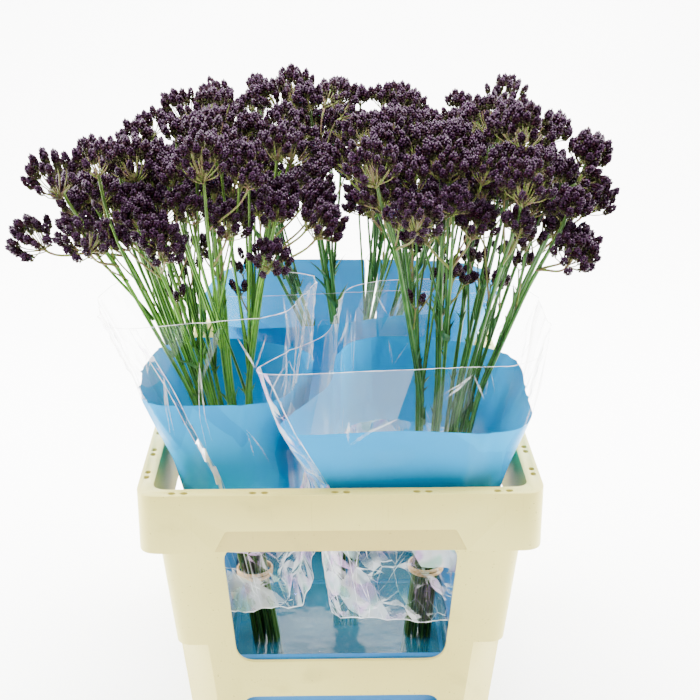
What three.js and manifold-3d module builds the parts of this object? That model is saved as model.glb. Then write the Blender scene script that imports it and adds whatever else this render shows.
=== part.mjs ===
// Verbena: three sleeved bunches of flowering stems in a windowed auction crate.
// Millimetres, +Z up. The origin is the centre of the crate's underside and the front looks along -Y.

import * as THREE from 'three';
import { mergeVertices } from 'three/addons/utils/BufferGeometryUtils.js';
import Module from 'manifold-3d';

// ---------------------------------------------------------------- driving dimensions

const GAP = 0.3; // clearance between pieces that touch

const CRATE = {
  height: 280,
  halfX: 150, // outside of the collar
  halfY: 200,
  cornerRadius: 16,
  wall: 3,
  bodyHalfX: 141.5, // outside of the body, at rim height
  bodyHalfY: 191.5,
  bodyRadius: 14,
  draft: 0.095, // the body narrows by this much each side per mm of depth
  collarBottom: 233,
  stepHeight: 141, // below this the four corners are cut back
  cornerCut: 25,
  arcSegments: 3,
};

const WINDOWS = [
  { bottom: 124, top: 231, halfBottomX: 81, halfTopX: 89, radius: 15 },
  { bottom: 28, top: 90, halfBottomX: 72, halfTopX: 79, radius: 13 },
];
const SIDE_WINDOW_EXTRA = 46; // the windows of the long sides are this much wider, each side

const RECESS = { bottom: 232, top: 251, halfBottom: 94.5, halfTop: 85, sideExtra: 46 };

const TUB = {
  bottom: CRATE.wall + GAP,
  top: 118,
  halfX: 110,
  halfY: 158,
  radius: 24,
  draft: 0.07,
  wall: 2,
  floor: 2.5,
  lip: 4.5,
  lipHeight: 4,
};

const WATER_LEVEL = 44;
const FOOT_HOLE_RADIUS = 24;

const FILM = 0.8;
const FILM_POINTS_PER_CONTROL = 2;

const STEM = {
  foot: TUB.bottom + TUB.floor + 2 * GAP,
  waist: 120, // height of the elastic band, where the stems lie closest
  crown: 500, // mean height of the flower heads
  radius: 2.3, // across the corners of the square stem
  branchRadius: 1.4,
  pitch: 6.2,
  footSplay: 0.15,
  clearance: 0.6,
  pathHeights: [310], // where the stem's path is divided between the band and its top
  topStretch: 60,
  tuck: 0.14, // the packed grid is drawn in by this much at its corners
  stray: 0.1,
};

// The canopy: nearly level over the crate, lower at its ends and falling a little towards the back.
const CANOPY = {
  height: 526,
  middleX: -10,
  halfX: 215,
  endDrop: 28,
  fall: 0.05,
};

// The top head of each stem, and the smaller ones on branches that part from it in opposite pairs.
const TOP = {
  below: 18,
  lowest: -20,
  highest: 14,
  sink: 0.2,
  radius: [21, 23],
  shrink: 0.0025,
  attempts: 120,
};
const BRANCH = {
  lowest: 430, // branches part from the stem above the film
  drops: [[46, 66], [60, 86]],
  stray: 0.8,
  lean: [0.3, 0.7],
  length: [32, 58],
  headRadius: [18, 21.5],
  nestling: 8, // heads of one stem may press into each other by this much
  attempts: 40,
};

// Small toothed leaves stand in opposite pairs at a node of every fourth stem.
const LEAF = {
  every: 4,
  height: [318, 372],
  lean: 0.38,
  length: [25, 33],
  slimness: 0.19,
  halfRoom: 3.2,
  thickness: 0.7,
  edge: [[0, 0], [0.3, 1], [0.46, 0.6], [0.58, 0.84], [1, 0]],
  attempts: 6,
};

const BAND = { thickness: 1.5, height: 6, sides: 12 };

// A head's spikelets stand in three rings: one on top, five round it and five outermost.
// Lengths are parts of the head's radius; the neck is the flat underside that the stem grows into.
const HEAD = {
  ring: 5,
  shortest: 0.9,
  longest: 1.1,
  valley: 0.56,
  spread: 0.63,
  neckRadius: 0.17,
  neckDepth: 0.72,
  ahead: 0.6,
  reach: 1.1,
  uprightness: 0.45,
};

const BUNCHES = [
  {
    name: 'left',
    foot: [-62, -4],
    crown: [-118, -92],
    reach: [76, 82],
    columns: 4,
    rows: 4,
    spread: 2.4,
    seed: 11,
  },
  {
    name: 'right',
    foot: [70, 2],
    crown: [104, -92],
    reach: [72, 82],
    columns: 4,
    rows: 4,
    spread: 2.1,
    seed: 23,
  },
  {
    name: 'rear',
    foot: [8, 72],
    crown: [16, 104],
    reach: [138, 68],
    columns: 4,
    rows: 3,
    spread: 2.0,
    seed: 37,
  },
];

// Each film sleeve from its hem up to its open top: a height, then the outline there, front left first.
const SLEEVES = [
  {
    name: 'left',
    levels: [
      [152, [-96, -148], [-64, -154], [-34, -146], [-24, -90], [-26, -20], [-60, 10], [-98, 4], [-110, -80]],
      [215, [-102, -152], [-68, -158], [-38, -148], [-28, -90], [-28, -20], [-62, 10], [-105, 4], [-118, -80]],
      [278, [-119, -158], [-76, -162], [-46, -146], [-32, -90], [-26, -20], [-66, 10], [-126, 4], [-136.6, -80]],
      [325, [-134, -160], [-92, -162], [-50, -144], [-32, -90], [-24, -20], [-78, 10], [-134, 4], [-152, -78]],
      [402, [-162, -164], [-104, -168], [-48, -152], [-26, -96], [-22, -22], [-92, 10], [-166, 4], [-194, -76]],
    ],
  },
  {
    name: 'right',
    levels: [
      [148, [0, -158], [44, -162], [100, -154], [110, -90], [108, -16], [66, 24], [24, 14], [0, -80]],
      [215, [-8, -163], [44, -166.5], [105, -157], [116.5, -90], [116, -16], [68, 26], [18, 14], [-6, -80]],
      [278, [-22, -181], [44, -184], [120, -175], [133, -92], [132, -14], [70, 28], [14, 16], [-10, -84]],
      [325, [-44, -188], [44, -192], [130, -184], [149, -98], [142, -14], [72, 28], [12, 16], [-10, -90]],
      [380, [-62, -190], [46, -196], [140, -188], [162, -102], [154, -14], [74, 26], [10, 14], [-8, -96]],
    ],
  },
  {
    name: 'rear',
    levels: [
      [156, [-50, 50], [0, 44], [46, 54], [84, 66], [88, 130], [20, 154], [-52, 144], [-66, 96]],
      [215, [-58, 44], [-6, 38], [46, 52], [96, 62], [100, 144], [22, 168], [-62, 158], [-78, 96]],
      [278, [-74, 36], [-14, 32], [48, 48], [114, 56], [118, 157], [20, 184.6], [-76, 176.5], [-96, 96]],
      [325, [-92, 32], [-18, 30], [50, 46], [126, 52], [130, 164], [18, 190], [-92, 182], [-116, 98]],
      [360, [-106, 30], [-20, 28], [50, 44], [140, 50], [140, 168], [16, 195], [-104, 188], [-132, 98]],
    ],
  },
];

// ---------------------------------------------------------------- materials

function plastic(name, color, roughness) {
  return new THREE.MeshStandardMaterial({ name, color, roughness, metalness: 0 });
}

const MATERIALS = {
  crate: plastic('cream_polypropylene', 0xdfd9bd, 0.45),
  tub: plastic('blue_polypropylene', 0x2f86b8, 0.4),
  water: plastic('water', 0x9fc4d6, 0.05),
  film: plastic('clear_film_blue_band', 0x58b8dc, 0.15),
  elastic: plastic('elastic', 0xb08a5a, 0.7),
  stem: plastic('green_stem_purple_head', 0x4d3a4d, 0.6),
};

// ---------------------------------------------------------------- solids

const wasm = await Module();
wasm.setup();

// A closed three.js geometry as a solid.
function toSolid(geometry) {
  const bare = new THREE.BufferGeometry();
  bare.setAttribute('position', geometry.getAttribute('position'));
  if (geometry.index) bare.setIndex(geometry.index);
  const merged = mergeVertices(bare, 1e-4);
  return new wasm.Manifold(
    new wasm.Mesh({
      numProp: 3,
      vertProperties: new Float32Array(merged.getAttribute('position').array),
      triVerts: new Uint32Array(merged.index.array),
    }),
  );
}

// A solid as a three.js geometry.
function toGeometry(solid) {
  const mesh = solid.getMesh();
  const geometry = new THREE.BufferGeometry();
  geometry.setAttribute('position', new THREE.BufferAttribute(new Float32Array(mesh.vertProperties), 3));
  geometry.setIndex(Array.from(mesh.triVerts));
  return geometry;
}

const joined = (solids) => solids.reduce((whole, solid) => whole.add(solid));

function named(name, geometry, material) {
  const mesh = new THREE.Mesh(geometry, material.clone());
  mesh.name = name;
  return mesh;
}

// ---------------------------------------------------------------- outlines

function roundedPolygon(corners, radius) {
  const shape = new THREE.Shape();
  const count = corners.length;
  corners.forEach(([x, y], index) => {
    const corner = new THREE.Vector2(x, y);
    const before = new THREE.Vector2(...corners[(index + count - 1) % count]);
    const after = new THREE.Vector2(...corners[(index + 1) % count]);
    const start = before.sub(corner).setLength(radius).add(corner);
    const end = after.sub(corner).setLength(radius).add(corner);
    if (index === 0) shape.moveTo(start.x, start.y);
    else shape.lineTo(start.x, start.y);
    shape.quadraticCurveTo(corner.x, corner.y, end.x, end.y);
  });
  shape.closePath();
  return shape;
}

const rectangle = (halfX, halfY) => [[-halfX, -halfY], [halfX, -halfY], [halfX, halfY], [-halfX, halfY]];

const trapezoid = (halfBottom, halfTop, bottom, top) => [
  [-halfBottom, bottom],
  [halfBottom, bottom],
  [halfTop, top],
  [-halfTop, top],
];

// A rectangle whose four corners are cut off by `cut` along each side.
function cutCorners(halfX, halfY, cut) {
  const quarter = [[halfX, halfY - cut], [halfX - cut, halfY]];
  const mirror = (points, signX, signY) => points.map(([x, y]) => [x * signX, y * signY]);
  return new THREE.Shape(
    [
      ...mirror(quarter, 1, 1),
      ...mirror(quarter, -1, 1).reverse(),
      ...mirror(quarter, -1, -1),
      ...mirror(quarter, 1, -1).reverse(),
    ].map(([x, y]) => new THREE.Vector2(x, y)),
  );
}

// ---------------------------------------------------------------- prisms

function extruded(shape, depth, curveSegments) {
  return new THREE.ExtrudeGeometry(shape, { depth, bevelEnabled: false, curveSegments });
}

// An upright prism whose sides lean in below `reference` by `draft` mm per mm.
function uprightPrism(shape, bottom, top, { draft = 0, reference = top } = {}) {
  const geometry = extruded(shape, top - bottom, CRATE.arcSegments);
  geometry.translate(0, 0, bottom);
  const position = geometry.getAttribute('position');
  for (let i = 0; i < position.count; i += 1) {
    const inset = draft * (reference - position.getZ(i));
    position.setX(i, position.getX(i) - Math.sign(position.getX(i)) * inset);
    position.setY(i, position.getY(i) - Math.sign(position.getY(i)) * inset);
  }
  return toSolid(geometry);
}

// An outline given in X and Z, extruded along Y from `from` to `to`.
function throughFront(shape, from, to, curveSegments = CRATE.arcSegments) {
  const geometry = extruded(shape, to - from, curveSegments);
  geometry.rotateX(Math.PI / 2);
  geometry.translate(0, to, 0);
  return toSolid(geometry);
}

// An outline given in Y and Z, extruded along X from `from` to `to`.
function throughSide(shape, from, to, curveSegments = CRATE.arcSegments) {
  const geometry = extruded(shape, to - from, curveSegments);
  geometry.rotateX(Math.PI / 2);
  geometry.rotateZ(Math.PI / 2);
  geometry.translate(from, 0, 0);
  return toSolid(geometry);
}

// ---------------------------------------------------------------- crate

function crateBody(offset, bottom, top) {
  const halfX = CRATE.bodyHalfX - offset;
  const halfY = CRATE.bodyHalfY - offset;
  const taper = { draft: CRATE.draft, reference: CRATE.height };
  const cut = CRATE.cornerCut - offset * (2 - Math.SQRT2);
  const upper = roundedPolygon(rectangle(halfX, halfY), CRATE.bodyRadius - offset);
  return joined([
    uprightPrism(upper, CRATE.stepHeight + offset, top, taper),
    uprightPrism(cutCorners(halfX, halfY, cut), bottom, CRATE.stepHeight + offset + 0.01, taper),
  ]);
}

function crateCollar() {
  const { halfX, halfY, cornerRadius, wall, height, collarBottom } = CRATE;
  const outside = roundedPolygon(rectangle(halfX, halfY), cornerRadius);
  const channel = roundedPolygon(rectangle(halfX - wall, halfY - wall), cornerRadius - wall);
  return uprightPrism(outside, collarBottom, height).subtract(
    uprightPrism(channel, collarBottom - 1, height - wall),
  );
}

function crateCutters() {
  const { halfX, halfY, wall } = CRATE;
  const cutters = [];
  for (const { bottom, top, halfBottomX, halfTopX, radius } of WINDOWS) {
    const front = trapezoid(halfBottomX, halfTopX, bottom, top);
    const side = trapezoid(halfBottomX + SIDE_WINDOW_EXTRA, halfTopX + SIDE_WINDOW_EXTRA, bottom, top);
    cutters.push(throughFront(roundedPolygon(front, radius), -halfY + wall + 1, halfY - wall - 1));
    cutters.push(throughSide(roundedPolygon(side, radius), -halfX + wall + 1, halfX - wall - 1));
  }
  const { bottom, top, halfBottom, halfTop, sideExtra } = RECESS;
  const frontRecess = roundedPolygon(trapezoid(halfBottom, halfTop, bottom, top), 2);
  const sideRecess = roundedPolygon(trapezoid(halfBottom + sideExtra, halfTop + sideExtra, bottom, top), 2);
  for (const sign of [-1, 1]) {
    const near = (half) => (sign < 0 ? [-half - 1, -half + wall + 1] : [half - wall - 1, half + 1]);
    cutters.push(throughFront(frontRecess, ...near(halfY), 1));
    cutters.push(throughSide(sideRecess, ...near(halfX), 1));
  }
  return cutters;
}

function crate() {
  const { wall, height } = CRATE;
  const shell = crateCollar().add(crateBody(0, 0, height));
  return toGeometry(shell.subtract(crateBody(wall, wall, height + 1)).subtract(joined(crateCutters())));
}

// ---------------------------------------------------------------- tub and water

function tubInside(bottom, top, offset) {
  const inset = TUB.wall + offset;
  const outline = roundedPolygon(rectangle(TUB.halfX - inset, TUB.halfY - inset), TUB.radius);
  return uprightPrism(outline, bottom, top, { draft: TUB.draft, reference: TUB.top });
}

function tub() {
  const { bottom, top, halfX, halfY, radius, lip, lipHeight, floor } = TUB;
  const outside = roundedPolygon(rectangle(halfX, halfY), radius);
  const rim = roundedPolygon(rectangle(halfX + lip, halfY + lip), radius + lip);
  const walls = uprightPrism(outside, bottom, top, { draft: TUB.draft, reference: top });
  return toGeometry(
    walls.add(uprightPrism(rim, top - lipHeight, top)).subtract(tubInside(bottom + floor, top + 1, 0)),
  );
}

function water() {
  const body = tubInside(STEM.foot, WATER_LEVEL, GAP);
  const holes = BUNCHES.map(({ foot }) => {
    const hole = new THREE.CylinderGeometry(FOOT_HOLE_RADIUS, FOOT_HOLE_RADIUS, WATER_LEVEL * 2, 12);
    return toSolid(hole.rotateX(Math.PI / 2).translate(...foot, WATER_LEVEL));
  });
  return toGeometry(body.subtract(joined(holes)));
}

// ---------------------------------------------------------------- sleeves and bands

// One level of a sleeve: its outline as a smooth closed curve, and that curve one film thickness inside.
function filmRings([z, ...outline]) {
  const controls = outline.map(([x, y]) => new THREE.Vector3(x, y, z));
  const curve = new THREE.CatmullRomCurve3(controls, true, 'centripetal');
  const outer = curve.getPoints(outline.length * FILM_POINTS_PER_CONTROL).slice(0, -1);
  const inner = outer.map((point, index) => {
    const before = outer[(index + outer.length - 1) % outer.length];
    const after = outer[(index + 1) % outer.length];
    const along = after.clone().sub(before).normalize();
    const across = new THREE.Vector3(-along.y, along.x, 0);
    return point.clone().addScaledVector(across, FILM);
  });
  return { outer, inner };
}

// An open tube of film: up its outside, over its top edge, down its inside and under its hem.
function sleeve({ levels }) {
  const rings = levels.map(filmRings);
  const loop = [...rings.map(({ outer }) => outer), ...rings.map(({ inner }) => inner).reverse()];
  const count = loop[0].length;
  const index = [];
  loop.forEach((ring, level) => {
    const next = (level + 1) % loop.length;
    ring.forEach((point, i) => {
      const j = (i + 1) % count;
      const [a, b, c, d] = [level * count + i, level * count + j, next * count + j, next * count + i];
      // The inside is divided along the same diagonals as the outside, so the film keeps its thickness.
      if (level < rings.length) index.push(a, b, c, a, c, d);
      else index.push(a, b, d, b, c, d);
    });
  });
  const geometry = new THREE.BufferGeometry().setFromPoints(loop.flat());
  geometry.setIndex(index);
  return toGeometry(toSolid(geometry));
}

// A flat ring that closes round the bunch where its stems lie closest.
function elasticBand({ foot, crown, columns, rows }) {
  const packed = (Math.hypot(columns - 1, rows - 1) * STEM.pitch * (1 - STEM.tuck)) / 2;
  const inner = (packed + STEM.radius + 2 * GAP) / Math.cos(Math.PI / BAND.sides);
  const half = BAND.height / 2;
  const profile = [
    [inner, -half],
    [inner + BAND.thickness, -half],
    [inner + BAND.thickness, half],
    [inner, half],
    [inner, -half],
  ].map(([r, z]) => new THREE.Vector2(r, z));
  const ring = new THREE.LatheGeometry(profile, BAND.sides).rotateX(Math.PI / 2);
  return toGeometry(toSolid(ring.translate(...axisAt({ foot, crown }, STEM.waist), STEM.waist)));
}

// ---------------------------------------------------------------- seeded layout of the flowering stems

// Even random numbers from 0 to 1 from a 32-bit seed.
function seeded(seed) {
  let state = seed >>> 0;
  return () => {
    state = (state + 0x6d2b79f5) >>> 0;
    let mixed = Math.imul(state ^ (state >>> 15), state | 1);
    mixed = (mixed + Math.imul(mixed ^ (mixed >>> 7), mixed | 61)) ^ mixed;
    return ((mixed ^ (mixed >>> 14)) >>> 0) / 4294967296;
  };
}

const between = (random, low, high) => low + (high - low) * random();

// Centre of a bunch at height z.
function axisAt({ foot, crown }, z) {
  const t = (z - STEM.foot) / (STEM.crown - STEM.foot);
  return [foot[0] + (crown[0] - foot[0]) * t, foot[1] + (crown[1] - foot[1]) * t];
}

// A stem's place at height z: close packed at the band, fanned out at the crown, in the same order.
function stemAt(bunch, stem, z) {
  const [cx, cy] = axisAt(bunch, z);
  const rise = (z - STEM.waist) / (STEM.crown - STEM.waist);
  const fan = rise > 0 ? rise ** bunch.spread : 0;
  const pack = rise > 0 ? 1 - fan : 1 + (STEM.footSplay * (STEM.waist - z)) / STEM.waist;
  return new THREE.Vector3(
    cx + stem.packed[0] * pack + stem.fanned[0] * fan,
    cy + stem.packed[1] * pack + stem.fanned[1] * fan,
    z,
  );
}

// Height of the flower canopy over a point.
function canopyHeight(x, y) {
  const { height, middleX, halfX, endDrop, fall } = CANOPY;
  return height - endDrop * Math.abs((x - middleX) / halfX) ** 2.6 - fall * y;
}

function distance(a, b) {
  return closest(a.from, a.to, b.from, b.to) - a.radius - b.radius;
}

// Least distance between two straight pieces.
function closest(p1, q1, p2, q2) {
  const d1 = q1.clone().sub(p1);
  const d2 = q2.clone().sub(p2);
  const r = p1.clone().sub(p2);
  const a = Math.max(d1.dot(d1), 1e-9);
  const e = Math.max(d2.dot(d2), 1e-9);
  const b = d1.dot(d2);
  const c = d1.dot(r);
  const f = d2.dot(r);
  const slack = a * e - b * b;
  const clamp = (value) => Math.min(1, Math.max(0, value));
  let s = slack > 1e-9 ? clamp((b * f - c * e) / slack) : 0;
  const t = clamp((b * s + f) / e);
  s = clamp((b * t - c) / a);
  return p1.clone().addScaledVector(d1, s).sub(p2.clone().addScaledVector(d2, t)).length();
}

const capsule = (from, to, radius) => ({ from, to, radius });

function isClear(pieces, owner, others) {
  return others.every(
    (other) =>
      other === owner ||
      other.taken.every((taken) => pieces.every((piece) => distance(piece, taken) > STEM.clearance)),
  );
}

// Direction at an angle to the stem, turned round it by an azimuth.
function leaning(tangent, azimuth, angle) {
  const flat = new THREE.Vector3(Math.cos(azimuth), Math.sin(azimuth), 0);
  const across = flat.addScaledVector(tangent, -flat.dot(tangent)).normalize();
  return tangent.clone().multiplyScalar(Math.cos(angle)).addScaledVector(across, Math.sin(angle));
}

// The head at the end of a stem or branch. Its centre lies ahead of the end, along the way it grew.
function headAt(end, direction, radius, random) {
  const axis = direction.clone().lerp(new THREE.Vector3(0, 0, 1), HEAD.uprightness).normalize();
  const { ring, shortest, longest } = HEAD;
  const lengths = Array.from({ length: 1 + 2 * ring }, () => between(random, shortest, longest));
  return { centre: end.clone().addScaledVector(axis, radius * HEAD.ahead), axis, radius, lengths };
}

const headRoom = ({ centre, radius }) => capsule(centre, centre, radius * HEAD.reach);

// The way a stem grows at height z.
function directionAt(stem, z) {
  return stemAt(stem.bunch, stem, z + 10).sub(stemAt(stem.bunch, stem, z)).normalize();
}

function layStems() {
  const stems = [];
  for (const bunch of BUNCHES) {
    const random = seeded(bunch.seed);
    for (let row = 0; row < bunch.rows; row += 1) {
      for (let column = 0; column < bunch.columns; column += 1) {
        const gx = (2 * column) / (bunch.columns - 1) - 1;
        const gy = (2 * row) / (bunch.rows - 1) - 1;
        const tuck = 1 - STEM.tuck * gx * gx * gy * gy;
        const halfPack = [bunch.columns - 1, bunch.rows - 1].map((steps) => (STEM.pitch * steps) / 2);
        const stem = {
          bunch,
          name: `stem_${bunch.name}_${String(row * bunch.columns + column + 1).padStart(2, '0')}`,
          packed: [gx * halfPack[0] * tuck, gy * halfPack[1] * tuck],
          fanned: [
            (gx + between(random, -STEM.stray, STEM.stray)) * bunch.reach[0],
            (gy + between(random, -STEM.stray, STEM.stray)) * bunch.reach[1],
          ],
          random,
        };
        raiseStem(stem, stems);
        stems.push(stem);
      }
    }
  }
  stems.forEach((stem) => addBranches(stem, stems));
  stems.forEach((stem) => addLeaves(stem, stems));
  return stems;
}

// Grows a stem to a height at which its top head clears the stems that stand already.
function raiseStem(stem, stems) {
  const { random, bunch } = stem;
  const over = stemAt(bunch, stem, STEM.crown);
  for (let attempt = 0; attempt < TOP.attempts; attempt += 1) {
    const lowest = TOP.lowest - TOP.sink * attempt;
    const radius = between(random, ...TOP.radius) * (1 - TOP.shrink * attempt);
    stem.top = canopyHeight(over.x, over.y) - TOP.below + between(random, lowest, TOP.highest);
    const heights = [STEM.foot, STEM.waist, ...STEM.pathHeights, stem.top - STEM.topStretch, stem.top];
    stem.path = heights.map((z) => stemAt(bunch, stem, z));
    stem.taken = stem.path.slice(1).map((point, i) => capsule(stem.path[i], point, STEM.radius));
    const tangent = stem.path.at(-1).clone().sub(stem.path.at(-2)).normalize();
    stem.heads = [headAt(stem.path.at(-1), tangent, radius, random)];
    stem.taken.push(headRoom(stem.heads[0]));
    if (isClear(stem.taken, stem, stems)) break;
  }
  stem.branches = [];
  stem.leaves = [];
}

// One or two opposite pairs of branches below the top head, kept where they clear every other stem.
function addBranches(stem, stems) {
  const { random, bunch } = stem;
  const azimuth = random() * 2 * Math.PI;
  const most = stems.indexOf(stem) % 4 === 2 ? 1 : 2;
  for (const [side, turn] of [0, Math.PI, Math.PI / 2, -Math.PI / 2].entries()) {
    if (stem.branches.length >= most) return;
    const height = Math.max(stem.top - between(random, ...BRANCH.drops[side < 2 ? 0 : 1]), BRANCH.lowest);
    const start = stemAt(bunch, stem, height);
    const tangent = directionAt(stem, height);
    for (let attempt = 0; attempt < BRANCH.attempts; attempt += 1) {
      const around = azimuth + turn + between(random, -BRANCH.stray, BRANCH.stray);
      const direction = leaning(tangent, around, between(random, ...BRANCH.lean));
      const end = start.clone().addScaledVector(direction, between(random, ...BRANCH.length));
      const head = headAt(end, direction, between(random, ...BRANCH.headRadius), random);
      const room = [capsule(start, end, STEM.branchRadius), headRoom(head)];
      const apart = distance(headRoom(head), headRoom(stem.heads[0]));
      if (apart > -BRANCH.nestling && isClear(room, stem, stems)) {
        stem.branches.push({ start, end, direction });
        stem.heads.push(head);
        stem.taken.push(...room);
        break;
      }
    }
  }
}

// A pair of small leaves at a node, kept where they clear every other stem.
function addLeaves(stem, stems) {
  const { random, bunch } = stem;
  const azimuth = random() * 2 * Math.PI;
  const height = between(random, ...LEAF.height);
  if (stems.indexOf(stem) % LEAF.every !== 1) return;
  const base = stemAt(bunch, stem, height);
  const tangent = directionAt(stem, height);
  for (const turn of [0, Math.PI]) {
    for (let attempt = 0; attempt < LEAF.attempts; attempt += 1) {
      const direction = leaning(tangent, azimuth + turn + attempt * 0.3, LEAF.lean);
      const length = between(random, ...LEAF.length);
      const room = capsule(base, base.clone().addScaledVector(direction, length), LEAF.halfRoom);
      if (isClear([room], stem, stems)) {
        stem.leaves.push({ base, direction, tangent, length, width: length * LEAF.slimness });
        stem.taken.push(room);
        break;
      }
    }
  }
}

// ---------------------------------------------------------------- flowering stem solids

// A path of straight stretches that is divided at its own points.
class Polyline extends THREE.Curve {
  constructor(points) {
    super();
    this.points = points;
  }

  getPoint(t) {
    const along = t * (this.points.length - 1);
    const index = Math.min(Math.floor(along), this.points.length - 2);
    return this.points[index].clone().lerp(this.points[index + 1], along - index);
  }

  getPointAt(t) {
    return this.getPoint(t);
  }

  getTangentAt(t) {
    return this.getTangent(t);
  }
}

// A stem along a path, square in section.
function rod(points, radius, sides = 4) {
  const turns = Array.from({ length: sides }, (_, i) => (2 * Math.PI * i) / sides);
  const corner = (turn) => new THREE.Vector2(radius * Math.cos(turn), radius * Math.sin(turn));
  const section = new THREE.Shape(turns.map(corner));
  const settings = { extrudePath: new Polyline(points), steps: points.length - 1, bevelEnabled: false };
  return toSolid(new THREE.ExtrudeGeometry(section, settings));
}

const HEAD_STEP = (2 * Math.PI) / HEAD.ring;

// Which spikelet of its head a raised direction belongs to: 0 on top, then the upper and the outer ring.
function spikeletIndex(polar, azimuth) {
  if (polar < 0.1) return 0;
  const turn = ((azimuth + 4 * Math.PI) / HEAD_STEP) % HEAD.ring;
  if (polar < 1.5) return 1 + (Math.round(turn) % HEAD.ring);
  return 1 + HEAD.ring + (Math.round(turn - 0.5) % HEAD.ring);
}

// The directions of a small ball with a corner on top: its corners become spikelets, the rest valleys.
function headDirections() {
  const corner = new THREE.Vector3(0, 1, (1 + Math.sqrt(5)) / 2);
  const upright = new THREE.Quaternion().setFromUnitVectors(corner.normalize(), new THREE.Vector3(0, 0, 1));
  const ball = new THREE.IcosahedronGeometry(1, 1).applyQuaternion(upright);
  const corners = new THREE.IcosahedronGeometry(1, 0).applyQuaternion(upright).getAttribute('position');
  const pointsOf = (attribute) =>
    Array.from({ length: attribute.count }, (_, i) => new THREE.Vector3().fromBufferAttribute(attribute, i));
  const isCorner = (v) => pointsOf(corners).some((other) => other.angleTo(v) < 0.01);
  const points = pointsOf(ball.getAttribute('position'));
  const upper = points.find((v) => isCorner(v) && v.z > 0.1 && v.z < 0.9);
  const turned = Math.atan2(upper.y, upper.x);
  return points.map((v) => {
    const polar = Math.acos(THREE.MathUtils.clamp(v.z, -1, 1));
    return { polar, azimuth: Math.atan2(v.y, v.x) - turned, spike: isCorner(v) };
  });
}

const HEAD_DIRECTIONS = headDirections();

// A dense head: eleven pointed spikelets raised from a small core. Under it is either the flat neck
// that a stem grows into or, where `stalk` gives its start, the head's own tapered stalk.
function headSolid({ centre, axis, radius, lengths }, stalk) {
  const up = new THREE.Vector3(0, 0, 1);
  const neckRadius = stalk ? STEM.branchRadius : radius * HEAD.neckRadius;
  const neck = neckRing(centre.clone().addScaledVector(axis, -radius * HEAD.neckDepth), axis, neckRadius);
  const place = new THREE.Quaternion().setFromUnitVectors(up, axis);
  const faces = [];
  const corners = HEAD_DIRECTIONS.map(({ polar, azimuth, spike }) => {
    if (polar > 2.4) return neck[Math.round(azimuth / HEAD_STEP - 0.5 + 2 * HEAD.ring) % HEAD.ring];
    const out = radius * (spike ? lengths[spikeletIndex(polar, azimuth)] : HEAD.valley);
    return polarPoint(out, polar * HEAD.spread, azimuth).applyQuaternion(place).add(centre);
  });
  for (let i = 0; i < corners.length; i += 3) {
    const face = corners.slice(i, i + 3);
    if (!face.every((corner) => neck.includes(corner))) faces.push(...face);
  }
  const foot = stalk ? neckRing(stalk.start, stalk.direction, STEM.branchRadius * 0.9) : neck;
  for (let k = 0; stalk && k < HEAD.ring; k += 1) {
    const next = (k + 1) % HEAD.ring;
    faces.push(neck[k], foot[k], foot[next], neck[k], foot[next], neck[next]);
  }
  for (let k = 1; k < HEAD.ring - 1; k += 1) faces.push(foot[0], foot[k + 1], foot[k]);
  return toSolid(new THREE.BufferGeometry().setFromPoints(faces));
}

// A point at a distance, an angle from +Z and a turn round it.
function polarPoint(distanceOut, polar, azimuth) {
  const v = new THREE.Vector3().setFromSphericalCoords(distanceOut, polar, azimuth);
  return new THREE.Vector3(v.z, v.x, v.y);
}

// Five points round an axis, between the outermost spikelets' directions.
function neckRing(origin, axis, radius) {
  const place = new THREE.Quaternion().setFromUnitVectors(new THREE.Vector3(0, 0, 1), axis);
  return Array.from({ length: HEAD.ring }, (_, k) =>
    polarPoint(radius, Math.PI / 2, (k + 0.5) * HEAD_STEP)
      .applyQuaternion(place)
      .add(origin),
  );
}

// A lanceolate leaf with a toothed edge, sunk into the stem at its base.
function leafSolid({ base, direction, tangent, length, width }) {
  const along = (side) => LEAF.edge.map(([t, w]) => new THREE.Vector2(t * length, side * w * width));
  const outline = new THREE.Shape([...along(1), ...along(-1).slice(1, -1).reverse()]);
  const blade = extruded(outline, LEAF.thickness);
  const out = direction.clone().normalize();
  const across = new THREE.Vector3().crossVectors(out, tangent).normalize();
  const up = new THREE.Vector3().crossVectors(out, across);
  const frame = new THREE.Matrix4().makeBasis(out, across, up).setPosition(base);
  return toSolid(blade.translate(0, 0, -LEAF.thickness / 2).applyMatrix4(frame));
}

function floweringStem(stem) {
  const parts = [rod(stem.path, STEM.radius)];
  stem.heads.forEach((head, i) => parts.push(headSolid(head, stem.branches[i - 1])));
  for (const leaf of stem.leaves) parts.push(leafSolid(leaf));
  return toGeometry(joined(parts));
}

// ---------------------------------------------------------------- assembly

const verbena = new THREE.Group();
verbena.add(named('crate', crate(), MATERIALS.crate));
verbena.add(named('tub', tub(), MATERIALS.tub));
verbena.add(named('water', water(), MATERIALS.water));
SLEEVES.forEach((each) => verbena.add(named(`sleeve_${each.name}`, sleeve(each), MATERIALS.film)));
BUNCHES.forEach((each) => verbena.add(named(`band_${each.name}`, elasticBand(each), MATERIALS.elastic)));
layStems().forEach((stem) => verbena.add(named(stem.name, floweringStem(stem), MATERIALS.stem)));

export default verbena;
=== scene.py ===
"""Verbena: three film-sleeved bunches of flowering stems in a windowed auction crate.

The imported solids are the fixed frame. Every class below dresses or replaces one sub-assembly of it, in
metres and in the same frame: the crate, its tub and water, the film sleeves, the elastic bands and the
flowering stems, whose seeded layout is the same one that placed the solids.
"""

import logging
import math
from dataclasses import dataclass, field
from enum import Enum

import bmesh
import bpy
import numpy as np
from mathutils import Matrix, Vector
from mathutils.bvhtree import BVHTree
from mathutils.geometry import delaunay_2d_cdt


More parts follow.
